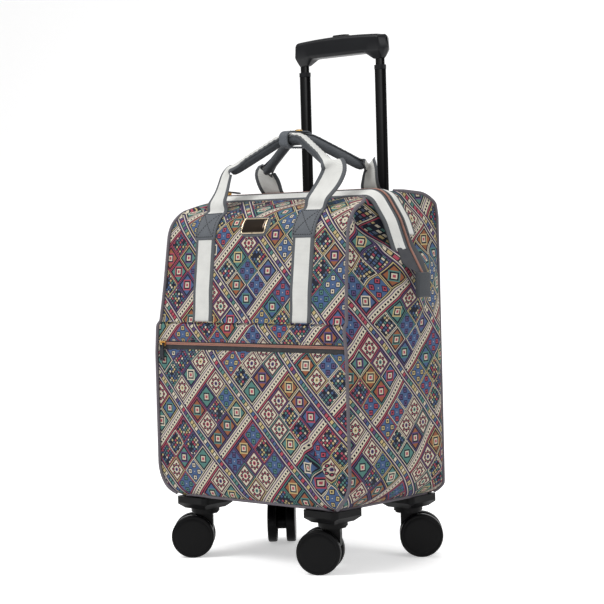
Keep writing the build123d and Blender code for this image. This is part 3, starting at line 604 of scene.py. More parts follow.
def quarter_arc(radius, reach, stop=None):
    """Height of a quarter circle at a distance from its middle: root of radius squared less
    distance squared. The distance is held between 0 and stop."""
    return np.sqrt(radius ** 2 - np.clip(reach, 0, stop or radius) ** 2)


def half_width(z):
    """Half the bag's width at the front seam: an arc of 50 mm at the floor, then a smooth taper."""
    return np.where(z < 135, 127.5 + quarter_arc(floor_radius, 135.0 - z), np.interp(z, taper_z, taper_x))


def rear_corner(y):
    """Half width where the side turns round the rear corner."""
    return 137.5 + quarter_arc(rear_radius, y - 72)


front_line = [(-70, 85), (-109.5, 85), (-109.5, 329), (-103.5, 334), (-85.4, 479.5), (-24, 500), (-3.5, 508)]
front_line = rounded(front_line, [18, 0, 0, 46, 40], 1.5)
# Below, both lines are cut off where the base takes over, and the front one also ends near the ridge
front_line = front_line[front_line[:, 0] < -91.5 + 75 * (front_line[:, 1] > 200)]
rear_line = rounded([(70, 85), (112, 85), (112, 501), (24, 508), (3.5, 509)], [18, 46, 60], 1.5)
rear_line = rear_line[(rear_line[:, 0] > 94) | (rear_line[:, 1] > 200)]
ridge = rounded([(0, 511), (156, 511), (184, 470), (198, 433), (221, 394)], [34, 60, 50], 2.0)
top_corner = ridge[ridge[:, 0] > 137][::-1]


def under_band(y, z):
    """Widest half width at which the cloth still lies below the webbing band on the top corner."""
    # The band's depth is 12 mm in front and 3 mm behind; away from it nothing limits the cloth
    limit = np.interp(z + np.where(y < 0, 12.0, 3.0), top_corner[:, 1], top_corner[:, 0])
    return limit + 60.0 * smooth_step(y, 24, 60) + 60.0 * (z < 470)


def seam(line, rows, side):
    """A panel's seam up the bag: the row's height up to 440 mm, then equal steps of its length."""
    low, high = line[line[:, 1] <= seam_top], line[line[:, 1] >= seam_top]
    share, count = 0.78, 400
    z = np.interp(rows, [0, share], [low[0, 1], seam_top])
    body = grid(np.interp(z, low[:, 1], low[:, 0]), z)
    pick = np.clip((rows - share) / (1 - share), 0, 1) * (count - 1)
    top = read_off(pick, np.arange(count), even(high, count=count))
    y, z = np.where((rows < share)[:, None], body, top).T
    x = half_width(z)
    if side > 0:
        y = np.minimum(y, 100.3)
        x = np.minimum(x, rear_corner(y))
    return grid(np.minimum(x, under_band(y, z)), y, z)


rows = np.linspace(0, 1, 190)
front_seam, rear_seam = seam(front_line, rows, -1), seam(rear_line, rows, 1)
print("front seam", front_seam[[0, -1]].round(1).tolist(), "rear seam", rear_seam[[0, -1]].round(1).tolist())

# %% [markdown]
# ## Front panel and pocket
# The canvas of the pocket is stuffed a little, so it stands proud, and its cloth is creased near
# the lower right corner where the load pulls it. A panel could be inflated by cloth simulation,
# but the photograph shows where each crease lies, so the swell and the creases are written as
# smooth hills and valleys added to the flat panel.

# %% Front surface
def crease(x, z, start, end, width, depth):
    """A valley along a straight run: depth falls off as a bell curve across it, and at its ends."""
    (x0, z0), (x1, z1) = start, end
    length = math.hypot(x1 - x0, z1 - z0)
    along = ((x - x0) * (x1 - x0) + (z - z0) * (z1 - z0)) / length
    across = ((x - x0) * (z1 - z0) - (z - z0) * (x1 - x0)) / length
    return depth * bell(across, width) * plateau(along, -10, 14, length - 14, length + 10)


def hanging_fold(x, z, heights, places, width, depth):
    """A valley that wanders as it falls: its x at each height is read off a few stations."""
    low, high = heights[0], heights[-1]
    fade = plateau(z, low - 8, low + 10, high - 44, high + 12)
    return depth * bell(x - np.interp(z, heights, places), width) * fade


def ripple(x, z, scale, seed):
    """Gentle unevenness of filled cloth: a sum of a few slanting waves with set phases."""
    random = np.random.default_rng(seed)
    total = np.zeros(np.broadcast(x, z).shape)
    for _ in range(9):
        heading, phase, size = random.uniform(0, np.pi), random.uniform(0, 6.28), random.uniform(0.7, 1.6)
        total += np.sin((x * np.cos(heading) + z * np.sin(heading)) / (scale * size) + phase)
    return total / 9


hanging_folds = [((98, 118, 134, 148, 170, 200), (133, 134, 131, 123, 112, 98), 5.4, 8.0),
                 ((98, 120, 140, 160, 196), (121, 121, 117, 108, 92), 6.0, -4.0),
                 ((96, 120, 144, 170), (155, 152, 147, 139), 4.2, 6.5),
                 ((96, 120, 150, 172), (144, 143, 138, 128), 5.0, -4.6)]
front_creases = [((100, 92), (108, 150), 9, 1.8), ((-150, 100), (-132, 190), 9, 1.6),
                 ((60, 285), (140, 262), 8, 1.2), ((-40, 96), (-34, 150), 10, 1.0)]


def front_out(x, z):
    """How far the front stands out from its flat outline, in millimetres."""
    reach = 1 - np.clip(np.abs(x) / half_width(z), 0, 1)
    pocket = plateau(z, 92, 150, 270, 300)
    swell = 4.8 * pocket * np.sin(np.pi / 2 * np.clip(reach * 2.4, 0, 1))
    upper = 2.4 * plateau(z, 345, 380, 455, 500) * np.clip(reach * 2, 0, 1)
    folds = sum(crease(x, z, *each) for each in front_creases)
    folds = folds + sum(hanging_fold(x, z, *each) for each in hanging_folds)
    waves = ripple(x, z, 17.0, 4) * (1.3 * pocket + 0.5)
    # The window of the pocket's zip lies a little deeper than the cloth round it
    seat = -1.4 * plateau(z, 292, 295, 306, 307.5) * smooth_step(reach, 0, 0.03)
    return smooth_step(reach, 0, 0.10) * (swell + upper - folds * pocket + waves) + seat


def flat_measure(points):
    """The cloth's own flat measure: distance along each row and column from the first point."""
    right, up = (np.linalg.norm(np.diff(points, axis=i), axis=2).cumsum(i) for i in (1, 0))
    return grid(np.pad(right, ((0, 0), (1, 0))), np.pad(up, ((1, 0), (0, 0))))


def panel(name, points, node, uv, material=canvas, slot="printed_fabric", thick=2.0, flip=False):
    """A panel as a mesh; the size of the flat cloth it is cut from is printed."""
    piece = grid_piece(name, points, material, slot, node, uv=uv, thick=thick, flip=flip)
    size = flat_measure(points).reshape(-1, 2).max(0) / 1000
    print(piece.name, "is cut from", size.round(3).tolist(), "m of cloth")


share, middle_column = np.linspace(-1, 1, 150), slice(75, 76)
front_yz = front_seam[:, 1:]
x_grid = share * front_seam[:, :1]
front_all = grid(x_grid, *moved_out(front_yz, front_out(x_grid, front_yz[:, 1:])))
front_uv = grid(x_grid, flat_measure(front_all)[:, middle_column, 1])
pocket_rows, upper_rows = front_yz[:, 1] <= 334.5, front_yz[:, 1] >= 329.0
panel("front_pocket_cloth", front_all[pocket_rows], "front_pocket", front_uv[pocket_rows])
panel("front_panel_cloth", front_all[upper_rows], "front_panel", front_uv[upper_rows] + (19.0, 7.0))
print("front panel", front_all.shape, "up to z", front_all[..., 2].max().round(1))

# %% [markdown]
# ## Side panels
# Each side panel is one cloth from the front seam to the rear seam. Below, it swells with the
# load. Above, it has to reach the legs of the zip, so it stands out like an ear; in front of the
# leg the spare cloth sinks in and leaves a dark hollow, with a lip of cloth hanging over at its
# lower edge. The panel is a height above the Y-Z plane: the larger of body and ear.

# %% Side surface
leg_z = np.linspace(394, 510, 60)
leg_x = np.interp(leg_z, ridge[::-1, 1], ridge[::-1, 0])


def side_points(u, front, rear):
    """Point between the two seams, with X as the larger of the body's side and the ear."""
    y, z = (front[:, i:i + 1] * (1 - u) + rear[:, i:i + 1] * u for i in (1, 2))
    body = np.minimum(np.minimum(half_width(z), rear_corner(y)), under_band(y, z))
    middle = np.sin(np.pi * u)
    low = plateau(z, 92, 150, 380, 440)
    swell = 7.5 * low * middle ** 0.7 + 1.5 * ripple(y, z, 18.0, 11) * low * smooth_step(middle, 0, 0.4)

    # The ear's outline: a crown line below, and above it the zip's leg, from which the cloth drops
    drop = np.where(y < 0, 11.0, 2.5 + 9.0 * (1 - smooth_step(z, 438, 466)))
    drop = drop * np.clip((np.abs(y) - 3.5) / 20.5, 0, 1.6)
    crown = np.interp(z, [85, 270, 310, 350, 385, 410, 424], [100, 172, 180, 186, 193, 198, 201])
    leg = np.interp(z, leg_z, leg_x) - (drop + 4.5) * 1.15
    apex = crown + (leg - crown) * smooth_step(z, 404, 430)

    # From 20 mm beside the ridge the ear falls to the body, in front on a steeper curve near the top
    slope = np.clip((np.abs(y) - 20) / (np.where(y < 0, 66.0, 92.0) - 20), 0, 1)
    forward = np.clip(-y / 85, 0, 1)
    curve = np.where(y < 0, 1.0 + 1.5 * smooth_step(z, 412 + 34 * forward, 432 + 30 * forward), 0.9)
    ear = apex + (body + 1.0 - apex) * (1 - (1 - slope) ** curve)

    # In front of the leg the cloth sinks in, and a lip hangs over the lower edge of the hollow
    hollow = bell(y + 44, 19) * plateau(z, 424 + 26 * forward, 440 + 26 * forward, 488, 503)
    lip = bell(y + 46, 24) * bell(z - 430 + 0.42 * (y + 30), 9)
    x = np.maximum(body, np.where(z > 265, ear, 0)) + swell - 27.0 * hollow + 12.0 * lip
    return grid(body + (x - body) * smooth_step(middle, 0, 0.16), y, z)


u = np.linspace(0, 1, 110)
right_side = side_points(u, front_seam, rear_seam)
x, y, z = np.moveaxis(right_side, -1, 0)  # views, so a change of x changes right_side
for _ in range(3):
    near = (x[:-2, 1:-1] + x[2:, 1:-1] + x[1:-1, :-2] + x[1:-1, 2:]) / 4
    x[1:-1, 1:-1] = 0.5 * x[1:-1, 1:-1] + 0.5 * near
folds = [((-70, 395), (-12, 372), 8, 3.2), ((-60, 330), (10, 352), 9, 2.6), ((30, 300), (66, 400), 9, 2.2),
         ((-40, 250), (20, 262), 12, 1.8), ((-86, 300), (-60, 170), 9, 1.4), ((40, 130), (70, 250), 10, 1.6)]
x -= smooth_step(np.sin(np.pi * u), 0.0, 0.3) * sum(crease(y, z, *each) for each in folds)
side_uv = grid(y, z + 0.35 * (x - 170))
panel("side_cloth_right", right_side, "side_gussets", side_uv + (11.0, 5.0))
panel("side_cloth_left", right_side * (-1, 1, 1), "side_gussets", side_uv + (31.0, 17.0), flip=True)
print("side reaches x", x.max().round(1))

# %% [markdown]
# ## Rear panel and base
# The back is held flat by a board and by the tubes of the handle, so it hardly swells. The same
# print covers it. Its sides turn round the rear corners with a radius of 40 mm. The base is a
# coated black cloth over a board.

# %% Rear and base surfaces
rear_y, rear_z = seam(rear_line, rows, -1)[:, 1:2], rear_seam[:, 2:]
x_grid = share * rear_seam[:, :1]
rear_y = np.minimum(rear_y, 72 + quarter_arc(rear_radius, np.abs(x_grid) - 137.5))
flatness = smooth_step(1 - np.abs(share), 0.0, 0.2) * smooth_step(rear_z, 92, 130) * (rear_z < 470)
rear_all = grid(x_grid, rear_y + 0.7 * ripple(x_grid, rear_z, 26.0, 8) * flatness, rear_z)
rear_uv = grid(x_grid, flat_measure(rear_all)[:, middle_column, 1])
panel("rear_panel_cloth", rear_all, "rear_panel", rear_uv + (3.0, 29.0), flip=True)

u, v = np.meshgrid(np.linspace(-1, 1, 60), np.linspace(-1, 1, 50))
base_points = grid(143.0 * u * np.sqrt(1 - 0.06 * v ** 6), 1.0 + 101.0 * v * np.sqrt(1 - 0.10 * u ** 6),
                   86.4 - 1.3 * (1 - u ** 8) * (1 - v ** 8))
panel("base_cloth", base_points, "base_panel", base_points[..., :2], base_cloth, "base_fabric", 1.5,
      flip=True)
print("rear and base made")

# %% [markdown]
# ## Piping
# Piping is a cord wrapped in bias tape and sewn into a seam, to stiffen the edge and hide the
# stitches. It follows the seam exactly, so its line is the seam's own line moved out by half its
# thickness, and a circle is carried along it.

# %% Piping pieces
def both_sides(name, points, material, slot, node, **options):
    """A piece on the bag's right, and its mirror image on the left with its faces turned round."""
    grid_piece(name + "_right", points, material, slot, node, **options)
    grid_piece(name + "_left", points * (-1, 1, 1), material, slot, node, flip=True, **options)


def round_loop(half, low, high, radius, step):
    """A closed rectangle with rounded corners, from the middle of its lower side."""
    corners = [(0, low), (half, low), (half, high), (-half, high), (-half, low), (0, low)]
    return rounded(corners, [radius] * 4, step)


# The cord has a radius of 2.3 mm, and the seams' lines are moved out by about half of it. It starts
# above the base's cord and ends under the webbing bands.
cord = circle(2.3)
front_piping = front_seam[(front_seam[:, 2] > 89) & (front_seam[:, 1] < -22)] + (1.0, -1.2, 0)
rear_piping = rear_seam[(rear_seam[:, 2] > 89) & (rear_seam[:, 1] > 26)] + (1.0, 1.0, 0)
for name, line in (("front_piping", front_piping), ("rear_piping", rear_piping)):
    points = sweep(even(line, 3.0), x_axis, cord)
    both_sides(name, points, piping_cloth, "piping", "panel_piping", ring=True, caps=True,
               uv=flat_measure(points))

plan_x, plan_y = round_loop(144.6, -103.4, 103.8, 21.6, 3.0)[:-1].T
# The base's cord climbs with the round lower edges of the sides and of the ends
floor_side = 135 - quarter_arc(floor_radius, np.abs(plan_x) - 127.5, 49)
floor_end = 103 - quarter_arc(18, np.abs(plan_y) - np.where(plan_y < 0, 91.5, 94), 17.5)
base_line = grid(plan_x, plan_y, np.maximum(floor_side, floor_end) - 0.4)
points = sweep(np.concatenate([base_line, base_line[:2]]), z_axis, cord)[:-1]
grid_piece("base_piping_cord", points, piping_cloth, "piping", "base_piping", ring=True,
           uv=flat_measure(points))
print("piping along", len(front_piping), "and", len(rear_piping), "rows of the seams and round the base")

# %% [markdown]
# ## The zip mouth
# Two webbing bands run along the mouth, one each side of the zip. A wire frame inside them keeps
# the mouth's shape. They form a ridge: the front band leans forward, the rear one lies almost
# flat. Below the bands the bare zip tape runs on as a tongue and ends in a leather tab.

# %% Bands, tape, coil and tabs
band_from, band_width, band_thick = 5.4, 18.6, 1.9


def over_mouth(lowest):
    """The ridge's line from one side over the top to the other, down to a height."""
    half = ridge[ridge[:, 1] > lowest]
    return even(np.concatenate([half[::-1] * (-1, 1), half[1:]]), 2.0)


def band(name, side, drop, lowest, node):
    """A closed strip: its upper face runs from the zip out to the edge and down by the drop."""
    line, across = over_mouth(lowest), np.linspace(0, 1, 12)
    top = grid(band_from + band_width * across, -drop * across + 0.5 * np.sin(np.pi * across))
    under = grid(band_from + band_width * across, -drop * across - band_thick)
    reach, rise = np.concatenate([top, under[::-1]]).T
    x, z = moved_out(line, rise)
    grid_piece(name, grid(x, side * reach, z), band_webbing, "band_webbing", node, ring=True, caps=True,
               uv=grid(reach - band_from, distances(line)[:, None]), flip=side < 0)


band("mouth_webbing_front", -1, 11.0, 430.0, "mouth_band_front")
band("mouth_webbing_rear", 1, 2.5, 448.0, "mouth_band_rear")

zip_line = over_mouth(396)
length = distances(zip_line)[:, None]
from_end = np.minimum(length, length[-1] - length)
# Half the tape's width by the distance from its end: a tongue, then narrow under the bands
tape_half = np.interp(from_end, [0, 5, 20, 40, 56, 66], [11.5, 13.5, 22.0, 19.0, 9.0, 5.0])
wings = np.linspace(-1, 1, 21)
# The tape lies 1.2 mm below the ridge, and its wings hang lower where they are widest
hang = 1.2 + np.where(wings < 0, 6.0, 3.5) * wings ** 2 * plateau(from_end, 2, 16, 40, 60)
x, z = moved_out(zip_line, -hang)
grid_piece("mouth_tape", grid(x, tape_half * wings, z), zip_cloth, "zip_tape", "mouth_zip_tape",
           uv=grid(tape_half * wings, length), thick=0.9, flip=True)


def repeated(name, origins, axes, shape, material, node=None):
    """Copies one small shape to many places: corner = origin + across, up and along by its numbers."""
    corners, faces = shape
    axes = [np.broadcast_to(axis, origins.shape)[:, None] for axis in axes]
    points = origins[:, None] + sum(corners[:, i:i + 1] * axis for i, axis in enumerate(axes))
    every = [[v + i * len(corners) for v in face] for i in range(len(origins)) for face in faces]
    mesh = bpy.data.meshes.new(name)
    mesh.from_pydata((points.reshape(-1, 3) * 0.001).tolist(), [], every)
    mesh.validate()
    link_mesh(name, mesh, "bag", material, node)


def tooth(half, height, depth):
    """One coil turn as seen from outside: a short bar with sloping sides."""
    low = np.array([(-half, 0, -depth), (half, 0, -depth), (half, 0, depth), (-half, 0, depth)])
    faces = [(3, 2, 1, 0), (4, 5, 6, 7), (0, 1, 5, 4), (1, 2, 6, 5), (2, 3, 7, 6), (3, 0, 4, 7)]
    return np.concatenate([low, low * (0.8, 0, 0.4) + (0, height, 0)]), faces


def coil(name, line, up, across, node):
    """Two rows of coil turns, side by side along a line."""
    origins = np.concatenate([line + across * side * 0.95 - up * 0.1 for side in (-1, 1)])
    axes = [np.tile(np.broadcast_to(axis, line.shape), (2, 1)) for axis in (across, up, directions(line))]
    repeated(name, origins, axes, tooth(0.9, 1.3, 0.62), coil_plastic, node)


fine = even(zip_line, 1.6)
fine_up = outward(fine)
coil("mouth_coil", np.insert(fine - fine_up * 0.7, 1, 0, axis=1), np.insert(fine_up, 1, 0, axis=1), y_axis,
     "mouth_zip_coil")

# The leather tabs on the ends of the tape: a box that is pinched near the top and rounded below
tab_x, tab_z, tab_height = 219.0, 364.5, 33.0
up = np.linspace(0, 1, 26)[:, None]
across, out = soft_box(26.0, 7.6, 2.4).T
pinch = (1 - 0.10 * bell(up - 0.93, 0.05) - 0.5 * np.clip(1 - up / 0.04, 0, 1) ** 2
         - 0.3 * np.clip((up - 0.97) / 0.03, 0, 1) ** 2)
waist = (1 - 0.06 * np.clip(1 - up / 0.05, 0, 1) ** 2) * (1 - 0.04 * np.sin(np.pi * up))
tab_points = grid(tab_x + out * pinch, across * waist, tab_z + tab_height * up)
both_sides("zip_tab", tab_points, grip_leather, "grey_leather", "zip_end_tabs", ring=True, caps=True)
print("mouth made,", len(fine) * 2, "coil turns")

# %% [markdown]
# ## Straps, patches and badge
# The carry handles' webbing runs down the front to the pocket seam, under a stitched leather
# patch. Each is a ribbon laid on the panel: its points are the panel's own points moved out by
# the thickness of what is under it. Stitches are small raised dashes in real spacing.

# %% Places on the front and on the rear
def on_panel(line, side, bulge, x, along, lift):
    """Points at x and at a distance along a panel's seam line, lifted off the cloth. side is -1
    for the front and 1 for the rear, and bulge tells how far the cloth stands out there."""
    place, ahead, behind = (read_off(along + by, distances(line), line) for by in (0, 4, -4))
    out = unit(ahead - behind)[..., ::-1] * (side, -side)
    out_by = bulge(x, place[..., 1]) + lift
    return grid(x, *np.moveaxis(place + out * out_by[..., None], -1, 0))


def on_front(x, along, lift):
    """A place on the front cloth."""
    return on_panel(front_yz, -1, front_out, x, along, lift)


def on_rear(x, along, lift):
    """A place on the rear cloth, which lies flat under the patches."""
    return on_panel(rear_line, 1, lambda x, z: 0 * x, x, along, lift)


def length_at(height):
    """Distance along the front seam line at a height."""
    return float(np.interp(height, front_yz[:, 1], distances(front_yz)))


def slab(top, low):
    """Two faces of a flat piece as one closed ring of columns."""
    return np.concatenate([top, low[:, ::-1]], axis=1)


def laid(name, x_mid, width, start, end, lift, thick, material, slot, node, corner=0.0, step=2.5, dome=0.0,
         surface=on_front):
    """A flat piece laid on a panel: a closed slab whose upper face follows the cloth."""
    s = np.linspace(start, end, max(6, int((end - start) / step)))[:, None]
    t = np.linspace(-1, 1, 19)
    near_end = np.minimum(s - start, end - s)
    x = x_mid + t * (width / 2 - corner + quarter_arc(corner, corner - near_end))
    rim = np.minimum(np.minimum(near_end, (1 - np.abs(t)) * width / 2) / 1.6, 1)
    hill = dome * (1 - t ** 2) * (1 - ((s - (start + end) / 2) / ((end - start) / 2)) ** 2)
    top = surface(x, s, lift + thick * np.sqrt(np.clip(1 - (1 - rim) ** 2, 0, 1)) * 0.9 + 0.1 + hill)
    uv = grid(x - x_mid, s)
    grid_piece(name, slab(top, surface(x, s, lift - 0.4)), material, slot, node, uv=slab(uv, uv), ring=True,
               caps=True, flip=surface is on_rear)


def dashes(name, line, up, material, width=0.9):
    """Stitches along a line on a surface: raised dashes at their real spacing."""
    length, gap, height, known = 2.6, 1.4, 0.55, distances(line)
    at = np.arange(length / 2, known[-1], length + gap)
    rise = unit(read_off(at, known, np.broadcast_to(up, line.shape)))
    run = unit(read_off(at, known, directions(line)))
    repeated(name, read_off(at, known, line) - rise * 0.15, (np.cross(rise, run), rise, run),
             tooth(width / 2, height, length / 2), material)


def box_stitch(name, x_mid, start, end, lift, surface):
    """The seam of a sewn patch: a rectangle near its edge and the two diagonals."""
    t, half = np.linspace(0, 1, 30)[:, None], 16.5
    ends = np.array([(x_mid + x, s) for x, s in ((-half, start), (half, start), (half, end), (-half, end))])
    for number, (a, b) in enumerate([(0, 1), (1, 2), (2, 3), (3, 0), (0, 2), (1, 3)]):
        x, s = (ends[a] * (1 - t) + ends[b] * t).T
        line = surface(x, s, lift)
        up = surface(x, s, lift + 1) - line
        dashes(f"{name}_{number}", line, up, dark_thread, width=1.1)


print("pocket seam at", round(length_at(334.2), 1), "mm along the front")

# %% Straps, patches and badge
# Each piece is laid at a height above the cloth and has a thickness
strap_width, patch_width, leather, margin = 38.5, 41.0, 1.6, 4
strap_start, patch_start, patch_end = (length_at(height) for height in (334.2, 447.0, 483.0))
on_top = rear_line[:, 1] > seam_top
rear_low, rear_high = np.interp((-88.0, -51.0), -rear_line[on_top, 0], distances(rear_line)[on_top])
patches = (("front", patch_start, patch_end, 1.7, on_front), ("rear", rear_low, rear_high, 0.3, on_rear))
for word, x_mid in (("left", -92.0), ("right", 92.0)):
    laid("front_strap_" + word, x_mid, strap_width, strap_start, patch_start + 3, 0.2, 1.3, strap_webbing,
         "webbing", "front_straps")
    for place, start, end, lift, surface in patches:
        laid(f"{place}_patch_{word}", x_mid, patch_width, start, end, lift, leather, slate_leather,
             "grey_leather", "handle_patches", corner=2.5, surface=surface)
    for place, start, end, lift, surface in patches:
        box_stitch(f"{place}_patch_stitch_{word}", x_mid, start + margin, end - margin, lift + 1.65, surface)

badge_start, badge_end = length_at(450.0), length_at(476.0)
plate_start, plate_end = badge_start + 4.6, badge_end - 4.6
laid("badge_back", 0.0, 54.0, badge_start, badge_end, 0.1, leather, slate_leather, "grey_leather",
     "badge_backing", corner=12.5, step=1.0)
laid("badge_plate_metal", 0.0, 43.0, plate_start, plate_end, 1.6, 1.7, bronze, "badge_metal",
     "badge_plate", corner=2.0, step=0.8, dome=0.6)
x, s = round_loop(21.5, plate_start, plate_end, 2.6, 1.0).T
rim_line = on_front(x, s, 2.6)
rim = sweep(rim_line, on_front(x, s, 3.6) - rim_line, circle(1.1, 8))[:-1]
grid_piece("badge_rim", rim, bright_bronze, "badge_metal", ring=True)
print("straps, patches and badge made")

# %% [markdown]
# ## Carry handles
# Each handle is one length of webbing. It rises from its patch, turns, is folded narrow round the
# grip's core and runs along the padded grip, on the front handle along its upper front edge and
# on the rear handle along its back. The right half is worked out and the left half mirrors it. A
# centre line, a direction across and a width, each blended between stations, make the ribbon.

# %% Handle ribbons and grips
def smooth_line(stations):
    """A soft curve near a few stations: corners are cut four times."""
    line = np.asarray(stations, float)
    for _ in range(4):
        cuts = np.stack([0.75 * line[:-1] + 0.25 * line[1:], 0.25 * line[:-1] + 0.75 * line[1:]], axis=1)
        line = np.concatenate([line[:1], cuts.reshape(-1, line.shape[1]), line[-1:]])
    return line


def mirrored(half, signs=(-1, 1, 1)):
    """A right half that ends at the middle, followed by its mirror image back out to the left."""
    return np.concatenate([half, half[-2::-1] * signs])


# Stations of the two ribbons from the patch up to the grip
feet = on_front(np.full(3, 92.0), patch_end + np.array([-6.0, -1.0, 4.0]), np.array([1.3, 1.5, 2.0]))
risers = {"front": [*feet, (94.5, -66.0, 499), (97.0, -57.0, 509), (100.0, -47.0, 521), (102.0, -39.0, 534),
                    (101.0, -36.0, 543)],
          "rear": [(92, 64, 508.4), (92, 56, 509.6), (92.5, 50, 513), (95, 46.5, 523), (99, 43.0, 534),
                   (101, 40.5, 543)]}
off_core, twist, more_turned = 7.2, 0.36, math.radians(24)
for word, side, tilt_degrees, pucker in (("front", -1, 42, 0.55), ("rear", 1, 75, 0.2)):
    end, top = np.array([97.0, side * 37.0, 540.0]), np.array([19.0, side * 10.2, 584.0])
    wide = unit(np.cross(x_axis, unit(top - end)))
    wide = wide * np.sign(wide[1])
    half_core = rounded([end, top, top * (0, 1, 1)], [34], 3.0)
    core = mirrored(half_core)[2:-2]
    from_tip = np.minimum(np.arange(len(core)), np.arange(len(core))[::-1]) * 3.0
    swell = np.interp(from_tip, [0, 3, 9, 30], [0.62, 0.84, 0.97, 1.0])
    grip = grid_piece(word + "_grip", sweep(core, wide, soft_box(15.0, 12.4, 5.6), swell), grip_leather,
                      "grey_leather", word + "_handle_grip", ring=True, caps=True)

    # The ribbon on the grip lies against it in a direction that is tilted off straight up
    tilt = math.radians(tilt_degrees)
    up = np.cross(wide, directions(half_core))
    up = up * np.sign(up[:, 2:3])
    against = up * math.cos(tilt) + side * wide * math.sin(tilt)
    flat_across = wide * math.cos(tilt) - side * up * math.sin(tilt)
    over = half_core + against * off_core
    rise = even(smooth_line([*risers[word], over[2] + against[2] * 1.5, over[5]]), 2.0)
    half_path = np.concatenate([rise, over[6:]])
    run, length = np.arange(len(half_path)) * 2.0, 2.0 * len(rise)

    # Across the ribbon: along X at the foot, a little twisted above it, and flat on the grip
    share = smooth_step(run, 0, length * 0.6)[:, None]
    level = x_axis * (1 - share) + np.array([math.cos(twist), -side * math.sin(twist), 0.0]) * share
    share = smooth_step(run, length - 26, length)[:, None]
    goal = np.concatenate([np.repeat(flat_across[:1], len(rise), axis=0), flat_across[6:]])
    path = mirrored(half_path)
    along = directions(path)
    across = level_with(mirrored(level * (1 - share) + goal * share), along)
    normal = np.cross(across, along)
    normal = normal * np.sign(normal[len(path) // 2] @ against[-1])
    if side < 0:  # the left half of the front strap is turned a little further to the front
        turned = more_turned * smooth_step(-path[:, :1], 4, 24) * smooth_step(path[:, :1], -97, -80)
        cos, sin = np.cos(turned), np.sin(turned)
        path = path + off_core * (normal * (cos - 1) - across * sin)
        across, normal = across * cos + normal * sin, normal * cos - across * sin

    # Width, how far it bends round the grip and its puckers, in stations along it
    stations = np.array([0, length - 26, length - 13, length - 1, length + 12])
    earlier = np.array([0, 12, 8, 6, 4]) * (side > 0)
    width = np.interp(run, stations - earlier, [38, 36.5, 31.5, 18.5, 13.0])
    bend = 0.055 * smooth_step(run, length - 24, length)
    puckers = pucker * (1 + np.sin(run * 2 * np.pi / 5.6)) * smooth_step(run, length, length + 12)
    width, bend, puckers = mirrored(grid(width, bend, puckers), 1).T[..., None]
    s = np.linspace(-0.5, 0.5, 15)
    reach = width * s
    lift = (puckers - bend * reach ** 2)[..., None]
    faces = [path[:, None] + across[:, None] * reach[..., None] + normal[:, None] * (lift + raised)
             for raised in (0.75, -0.75)]
    uv = grid(s * 38.0, distances(path)[:, None])
    grid_piece(word + "_handle_webbing", slab(*faces), strap_webbing, "webbing", word + "_handle_strap",
               ring=True, caps=True, uv=slab(uv, uv))
print("handles made")

# %% [markdown]
# ## Wrap and snap
# A short leather wrap holds the two grips together under one snap. It is a flat ring in section,
# a little fuller in the middle of its length, with its edges turned in and stitched.

# %% Wrap, its stitches and its snap
wrap_low, wrap_high = np.array(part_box("handle_wrap")) * 1000
wrap_z, (_, wide, high) = (wrap_low[2] + wrap_high[2]) / 2, wrap_high - wrap_low
walls, slant = 4.2, 0.22
inner_ring, outer_ring = soft_box(wide - walls, high - walls, 8.0, 8), soft_box(wide, high, 9.0, 8)
across = np.array([-7.5, -7.3, -6.8, -6, -4, -1.5, 1.5, 4, 6, 6.8, 7.3, 7.5])[:, None]
size = np.array([0.972, 0.988, 0.996, 1, 1.004, 1.008, 1.008, 1.004, 1, 0.996, 0.988, 0.972])[:, None]
outer_face = grid(across, outer_ring[:, 0] * size, wrap_z + outer_ring[:, 1] * size)
inner_face = grid(across[::-1], inner_ring[:, 0], wrap_z + inner_ring[:, 1])
shell = np.concatenate([outer_face, inner_face, outer_face[:1]])
shell[..., 0] += slant * shell[..., 1]
grid_piece("grip_wrap", shell, slate_leather, "grey_leather", "handle_wrap", ring=True, flip=True)
for word, x in (("a", -5.6), ("b", 5.6)):
    edge_line = grid(x + slant * outer_ring[:, 0], outer_ring[:, 0], wrap_z + outer_ring[:, 1])
    edge_line = even(np.concatenate([edge_line, edge_line[:1]]), 1.0)
    dashes("wrap_stitch_" + word, edge_line, edge_line - (x, 0, wrap_z), thread)


def lathe(name, centre, axis, profile, material, slot, node, body="bag", count=48):
    """Turns a profile round an axis: point = centre + axis * height + radius * (cos, sin) of the turn."""
    side = unit(np.cross(axis, z_axis if abs(axis[2]) < 0.9 else x_axis))
    ring = circle(1.0, count) @ np.array([side, np.cross(axis, side)])
    radius, height = np.asarray(profile, float).T[..., None, None]
    grid_piece(name, centre + height * axis + radius * ring, material, slot, node, body=body, ring=True,
               caps=True)


# The snap's cap: radius and height of each ring of its profile
snap_low, snap_high = np.array(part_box("handle_snap")) * 1000
snap_centre = np.array([(snap_low[0] + snap_high[0]) / 2, 0.0, snap_low[2]])
snap_profile = [(5.4, -0.6), (5.5, 0.5), (5.2, 0.9), (4.7, 1.0), (4.4, 1.3), (3.2, 1.8), (1.2, 2.0),
                (0.2, 2.0)]
lathe("wrap_snap", snap_centre, z_axis, snap_profile, gold, "snap_metal", "handle_snap")
print("wrap at z", round(wrap_z, 1))

# %% [markdown]
# ## Pocket zip, sliders and pulls
# The pocket's zip lies in a window of the canvas: black tape, two rows of metallised coil, and a
# slider with a leather pull. The slider is a cast shell with a bridge that the pull hangs from.

